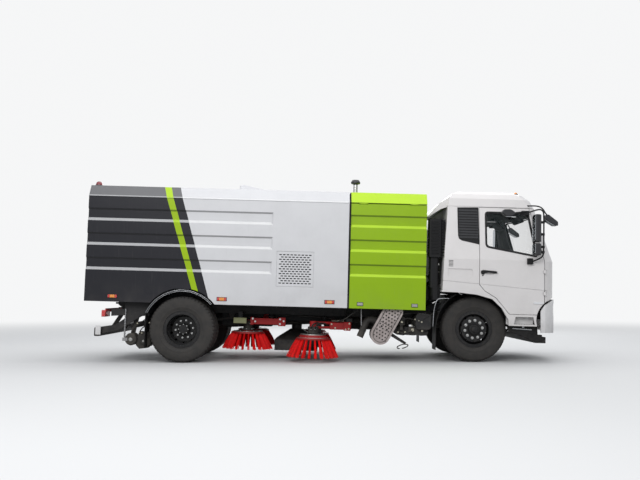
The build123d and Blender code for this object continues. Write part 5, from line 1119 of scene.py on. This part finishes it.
pipes("brake_pipes", [
    [(-1229, -1112, 447), (-1180, -1122, 430), (-1100, -1122, 440), (-1000, -1118, 480), (-960, -1112, 500)],
    [(-1341, -1060, 420), (-1250, -1080, 340), (-1180, -1100, 300), (-1110, -1104, 285)],
    [(-1171, -1110, 612), (-1140, -1120, 660), (-1040, -1118, 680), (-960, -1100, 640)],
    [(-853, -1110, 621), (-800, -1125, 690), (-700, -1110, 740), (-620, -1040, 780)],
    [(-1250, -1090, 700), (-1180, -1110, 740), (-1000, -1110, 760), (-780, -1090, 770)]
], 8, "chassis", hose_rubber)
turns = [radians(a) for a in range(-60, 290, 14)]
loop = [(-1241 + 88 * (1 - cos(a)), -1104, 222 + 30 * sin(a) - 20 * cos(a)) for a in turns]
pipes("drain_loop", [loop], 8, "chassis", hose_rubber)
strut = bmesh.new()
slab(strut, [(-1341, 378), (-1112, 250), (-1090, 284), (-1320, 430)], -1090, -1060)
slab(strut, [(-1400, 360), (-1330, 380), (-1330, 520), (-1400, 560)], -1090, -500)
slab(strut, [(-1290, 530), (-1290, 430), (-1240, 405), (-1130, 395), (-1110, 404), (-960, 398), (-905, 412),
             (-860, 396), (-760, 402), (-735, 440), (-735, 530)], -1040, -900)
settle("silencer_strut", strut, "chassis", chassis_enamel, edge=3)
pipes("body_hose", [[(-1882, -1100, 785), (-1950, -1104, 738), (-2009, -1106, 693), (-2070, -1104, 645),
                     (-2120, -1100, 618), (-2216, -1080, 583)]], 10, "chassis", hose_rubber)
pale_grey = weathered("galvanised_rod", "stack_steel", (0.42, 0.42, 0.43), 0.42, 0.3, specular=0.5,
                      metallic=0.8)
pipes("lock_rod", [[(-1829, -1100, 803), (-1828, -1100, 700), (-1825, -1100, 600), (-1823, -1100, 540)]],
      8, "chassis", pale_grey)

# Behind the cab: air cleaner and corrugated trunk between the black louvred intake and the engine, and the
# pipes that cross the gap, all in black.
trunk, cleaner = bmesh.new(), bmesh.new()
TRUNK = (-650, -985, 0)
profile = []
for k in range(23):
    z = 1190 + k * 22
    profile += [(z, 78), (z + 7, 88), (z + 15, 88), (z + 22, 78)]
lathe(trunk, profile, TRUNK, "Z")
settle("intake_trunk", trunk, "chassis", rubber_pad)
lathe(cleaner, [(-900, 0), (-900, 150), (-880, 165), (-420, 165), (-400, 150), (-400, 0)], (-700, 0, 1120),
      steps=40)
brick(cleaner, (-690, -610, -1150, -820, 985, 1180))
settle("air_cleaner", cleaner, "chassis", black_plastic, edge=4)
ribs = bmesh.new()
for k in range(13):
    z = 1690 + k * 46
    slab(ribs, [(-562, z), (-508, z + 4), (-508, z + 24), (-562, z + 28)], -1180, -1092)
brick(ribs, (-562, -536, -1180, -1092, 1672, 2292))
for k in range(12):
    z = 1712 + k * 46
    brick(ribs, (-735, -590, -1187, -1178, z, z + 16))
settle("intake_louvres", ribs, "chassis", black_plastic, edge=3)
clamps = bmesh.new()
for z in (1210, 1440, 1668):
    lathe(clamps, [(z - 9, 90), (z + 9, 90)], TRUNK, "Z")
bolt(clamps, (-590, -1060, 1560), (0, -1, 0), 12, 20)
bolt(clamps, (-640, -1075, 1440), (0, -1, 0), 12, 20)
settle("intake_clamps", clamps, "chassis", latch_steel)
pipes("gap_hoses", [
    [(-800, -620, 1180), (-760, -900, 1240), (-700, -1080, 1300), (-640, -1100, 1240), (-600, -1080, 1050)],
    [(-780, -500, 1400), (-740, -860, 1380), (-720, -1040, 1330), (-700, -1090, 1180), (-690, -1060, 980)],
    [(-800, 300, 1300), (-720, 100, 1360), (-700, -200, 1340), (-760, -500, 1260)]
], 22, "chassis", hose_rubber)
splash = bmesh.new()
slab(splash, [(-720, 960), (-560, 960), (-540, 1160), (-600, 1240), (-720, 1240)], -1060, -980)
settle("gap_splash_plate", splash, "chassis", black_plastic, edge=6)
# A black rubber sheet on the cab's rear wall, put there as painted shade of the gap behind the cab; it leans
# forward less below its sill than above it.
SILL_Z = 1650
shade_sheet = bmesh.new()
for y0, y1, z0, z1 in ((-1040, -640, 1240, 2300), (640, 1040, 1240, 2300), (-640, 640, 1240, 1770)):
    corners = []
    for y, z in ((y0, z0), (y1, z0), (y1, z1), (y0, z1)):
        x = -570 + (z - 595) * 46 / 1055 if z < SILL_Z else -524 + (z - SILL_Z) * 62 / 870
        corners.append((x, y, z))
    join(shade_sheet, *([(x - off, y, z) for x, y, z in corners] for off in (2, 16)))
settle("cab_rear_mat", shade_sheet, "cab", rubber_pad, edge=6)

# Rear quarters of the cab: moulded black panels with louvres, clipped over the openings behind the doors.
# Each louvre stands out at its foot.
quarter, slats = bmesh.new(), bmesh.new()
shape = [(-309, 2494), (-304, 2100), (-300, 2022), (-284, 1976), (-240, 1949), (33, 1894), (24, 2503)]
join(quarter, *([(x, side_y(z) + out, z) for x, z in shape] for out in (5, -4)))
settle("quarter_panel_*", quarter, "cab", black_plastic, edge=3)
for k in range(11):
    z = 1990 + k * 44
    rows = [[(x, side_y(h) + out, h) for h, out in ((z, 13), (z + 4, 14), (z + 34, 5), (z, 5))]
            for x in (-292, 26 - (z - 1890) * 0.012)]
    join(slats, *rows)
# The louvres are drawn in the paler plastic, a painted sheen.
settle("quarter_louvres_*", slats, "cab", mirror_shell, edge=1)

# Step wells: the pressed lining behind each step opening, white like the cab, with a ribbed foot plate. They
# belong to the cab and tilt with it.
lining, foot_plate = bmesh.new(), bmesh.new()
slab(lining, [(498, 622), (930, 622), (930, 800), (498, 800)], 1140, 1146)
slab(lining, [(498, 622), (930, 622), (930, 630), (498, 630)], 1140, 1236)
settle("step_lining_*", lining, "cab", bumper_enamel, edge=2)
for k in range(10):
    brick(foot_plate, (530 + k * 40, 546 + k * 40, 1160, 1230, 630, 634))
settle("step_grip_*", foot_plate, "cab", rubber_pad, edge=1)

# Below the steps: black pressed hangers carry the lower step, a bright ribbed tread plate with its stud. They
# are fixed to the chassis and stay when the cab tilts.
hanger, tread, stud = bmesh.new(), bmesh.new(), bmesh.new()
slab(hanger, [(512, 626), (1006, 626), (1018, 472), (884, 388), (540, 516)], 1092, 1122)
slab(hanger, [(850, 478), (1084, 470), (1084, 362), (1000, 350), (860, 392)], 1092, 1136)
settle("step_hanger_*", hanger, "chassis", black_plastic, edge=8)
slab(tread, [(604, 566), (916, 552), (916, 538), (604, 552)], 1060, 1140)
for k in range(9):
    x, z = 622 + k * 34, 564 - k * 1.5
    slab(tread, [(x, z), (x + 14, z), (x + 12, z + 5), (x + 2, z + 6)], 1068, 1136)
settle("step_tread_*", tread, "chassis", bead_steel, edge=2)
lathe(stud, [(1120, 22), (1130, 20), (1132, 0)], (778, 0, 592), steps=20)
settle("step_stud_*", stud, "chassis", bead_steel)

# Rear end of the chassis: pale end plates on the underrun beam, its braces, brackets of the tail lamps, a
# small air drum with its bright cap, a drain valve and a threaded stay, all low behind the rear wheels.
DRUM, STAY = (-5533, 0, 214), (-5632, 1100, 0)
plate, brace, drum, cap, stay, knots = (bmesh.new() for _ in range(6))
brick(plate, (-6092, -6008, 1150, 1153, 276, 422))
settle("beam_end_*", plate, "chassis", bumper_enamel, edge=2)
slab(brace, [(-6006, 290), (-5740, 350), (-5480, 520), (-5290, 640), (-5290, 728), (-5520, 640),
             (-5790, 440), (-6006, 400)], 1050, 1090)
slab(brace, [(-5860, 580), (-5640, 596), (-5640, 700), (-5860, 690)], 1080, 1118)
slab(brace, [(-5650, 560), (-5260, 600), (-5260, 806), (-5650, 806)], 1064, 1080)
settle("beam_brace_*", brace, "chassis", chassis_enamel, edge=5)
lathe(drum, [(860, 0), (862, 80), (880, 98), (1080, 98), (1094, 84), (1098, 0)], DRUM, steps=32)
for y in (900, 1040):
    lathe(drum, [(y - 12, 102), (y + 12, 102)], DRUM, steps=32)
slab(drum, [(-5570, 280), (-5496, 280), (-5420, 640), (-5500, 640)], 960, 985)
slab(drum, [(-5460, 120), (-5400, 60), (-5260, 80), (-5218, 150), (-5230, 330), (-5400, 344), (-5440, 260)],
     930, 1050)
lathe(drum, [(1050, 58), (1082, 54), (1084, 0)], (-5330, 0, 190), steps=24)
settle("rear_drum_*", drum, "chassis", castings, edge=6)
lathe(cap, [(1098, 34), (1112, 30), (1114, 12), (1104, 0)], (-5533, 0, 210), steps=24)
bolt(cap, (-5330, 1086, 190), (0, 1, 0), 16, 12)
settle("rear_drum_cap_*", cap, "chassis", latch_steel)
lathe(stay, [(234, 11), (700, 11)], STAY, "Z", 12)
for k in range(11):
    lathe(stay, [(250 + k * 40, 11), (258 + k * 40, 16), (268 + k * 40, 16), (276 + k * 40, 11)],
          STAY, "Z", 12)
brick(stay, (-5662, -5578, 1076, 1124, 186, 236))
settle("rear_stay_*", stay, "chassis", pale_grey, edge=3)
pipes("rear_pipes_*", [[(-5533, 1000, 312), (-5500, 1040, 400), (-5400, 1060, 470), (-5300, 1040, 560)],
                       [(-5410, 1060, 300), (-5380, 1090, 380), (-5300, 1070, 440), (-5250, 980, 520)]], 9,
      "chassis", hose_rubber)
for x, z in ((-5400, 330), (-5362, 318), (-5300, 452), (-5246, 486), (-5440, 470)):
    bolt(knots, (x, 1072, z), (0, 1, 0), 10, 14)
settle("rear_fittings_*", knots, "chassis", brass)
paint_node(red_lens, "tail_lamps")
paint_node(clear_lens, "headlamps")
paint_node(bright_steel, "ram_rods")

# Water tanks between the frame rails: moulded black polyethylene saddles either side of the propeller shaft,
# ribbed and strapped, with cross pipes. They close the view through the truck above the brooms.
tank_plastic = weathered("tank_plastic", "black_plastic", (0.010, 0.010, 0.011), 0.55, 0.14, low=0.2,
                         high=0.8)
saddles = bmesh.new()
for x0, x1, low in ((-4160, -3290, 452), (-2420, -1960, 440)):
    slab(saddles, soften([(x0, low), (x1, low), (x1, 660), (x0, 660)], 40), 130, 400)
    for k in range(int((x1 - x0) / 150)):
        x = x0 + 70 + k * 150
        brick(saddles, (x, x + 40, 400, 410, low + 20, 640))
for x0, x1 in ((-3330, -3270), (-2440, -2400)):
    brick(saddles, (x0, x1, 420, 700, 590, 650))
slab(saddles, [(-3296, 560), (-2414, 560), (-2414, 690), (-3296, 690)], 412, 424)
settle("water_tanks_*", saddles, "chassis", tank_plastic, edge=8)
pipes("water_pipes_*", [[(-4100, 412, 560), (-3600, 440, 600), (-3300, 480, 640), (-3000, 500, 650)],
                        [(-2900, 500, 650), (-2500, 520, 640), (-2200, 500, 600), (-1960, 480, 560)],
                        [(-3280, 470, 655), (-3200, 500, 600), (-3120, 520, 560), (-3060, 470, 500)]], 16,
      "chassis", hose_rubber)

# Seats: foam cushions under dark grey woven cloth with piped seams, on black pans. Each pad is crowned, and
# its sides pull in between the corners as sewn covers do.
seat_cloth = Finish("seat_cloth", "seat_cloth", (0.045, 0.047, 0.055), roughness=0.92, sheen_weight=0.25)
warp, weft = (seat_cloth.node("TexWave", {"bands_direction": way},
                              {"Vector": seat_cloth.place(), "Scale": 260.0}) for way in "XZ")
seat_cloth.soil(seat_cloth.noise(5.0, 4.0).rise(0.4, 0.8) * 0.4, (0.085, 0.085, 0.09))
seat_cloth.bump(warp * 0.5 + weft * 0.5, 0.0006)
piping = Finish("seat_piping", "seat_cloth", (0.020, 0.020, 0.022), roughness=0.7)
piping.bump(piping.noise(500.0), 0.0003)


def pad(name, centre, size):
    """One stuffed pad: a fine box whose faces crown outward and whose edges pull in between the corners."""
    mesh = bmesh.new()
    bmesh.ops.create_cube(mesh, size=2.0)
    bmesh.ops.subdivide_edges(mesh, edges=mesh.edges[:], cuts=7, use_grid_fill=True)
    for vert in mesh.verts:
        u, v, w = vert.co
        puff = [0.10 * (1 - b * b) * (1 - c * c) for b, c in ((v, w), (u, w), (u, v))]
        pinch = 1 - 0.05 * (1 - min(1.0, u * u * v * v + v * v * w * w + u * u * w * w))
        u, v, w = (c * pinch * (0.90 + p) for c, p in zip((u, v, w), puff))
        length = max(1.0, hypot(u, v, w) / 1.42)
        vert.co = [middle + c * half / length for middle, c, half in zip(centre, (u, v, w), size)]
    piece = settle(name, mesh, "cab", seat_cloth, crease=80)
    smooth = piece.modifiers.new("rounding", "SUBSURF")
    smooth.levels = smooth.render_levels = 1
    return piece


for side_name, side in SIDES:
    y = side * 640
    cushion = pad(f"seat_cushion_{side_name}", (195, y, 1565), (250, 245, 62))
    pad(f"seat_back_{side_name}", (-95, y, 1865), (58, 235, 300))
    pad(f"seat_headrest_{side_name}", (-185, y, 2275), (50, 135, 76))
    if side < 0:
        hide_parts("seats")
    pans, posts = bmesh.new(), bmesh.new()
    slab(pans, [(-40, 1440), (400, 1440), (430, 1506), (-60, 1506)], y - 225, y + 225)
    brick(pans, (20, 380, y - 190, y + 190, 1175, 1444))
    slab(pans, [(-80, 1500), (-20, 1500), (-130, 2130), (-168, 2130)], y - 200, y + 200)
    settle(f"seat_pan_{side_name}", pans, "cab", black_plastic, edge=14)
    for shift in (-60, 60):
        lathe(posts, [(2120, 7), (2230, 7)], (-160, y + shift, 0), "Z", 12)
    settle(f"headrest_posts_{side_name}", posts, "cab", bright_steel)
    seams = [[(-30, y + off, 1588), (200, y + off * 240 / 236, 1592), (420, y + off, 1588)]
             for off in (-236, 236)]
    seams += [[(x, y - 225, 1622), (x, y, 1628), (x, y + 225, 1622)] for x in (60, 300)]
    pipes(f"seat_seams_{side_name}", seams, 4, "cab", piping)

# Dashboard: grained soft plastic with six slatted vents, and two padded sun visors of the same plastic that
# hang from the roof behind the windscreen.
dash_plastic = Finish("dash_plastic", "trim_plastic", (0.055, 0.057, 0.062), roughness=0.75)
dash_plastic.soil(dash_plastic.noise(4.0) * 0.4, (0.035, 0.035, 0.038))
dash_plastic.bump(dash_plastic.cells(300.0), 0.0005)
paint_node(dash_plastic, "dashboard")
vents, visors = bmesh.new(), bmesh.new()
for y in (-960, -560, -180, 180, 300, 900):
    for k in range(5):
        brick(vents, (774, 786, y - 60, y + 60, 1540 + k * 16, 1549 + k * 16))
settle("dash_vents", vents, "cab", black_plastic, edge=1)
for y in (-640, 640):
    slab(visors, [(690, 2440), (720, 2452), (838, 2330), (828, 2300), (800, 2306)], y - 280, y + 280)
settle("sun_visors", visors, "cab", dash_plastic, edge=8)
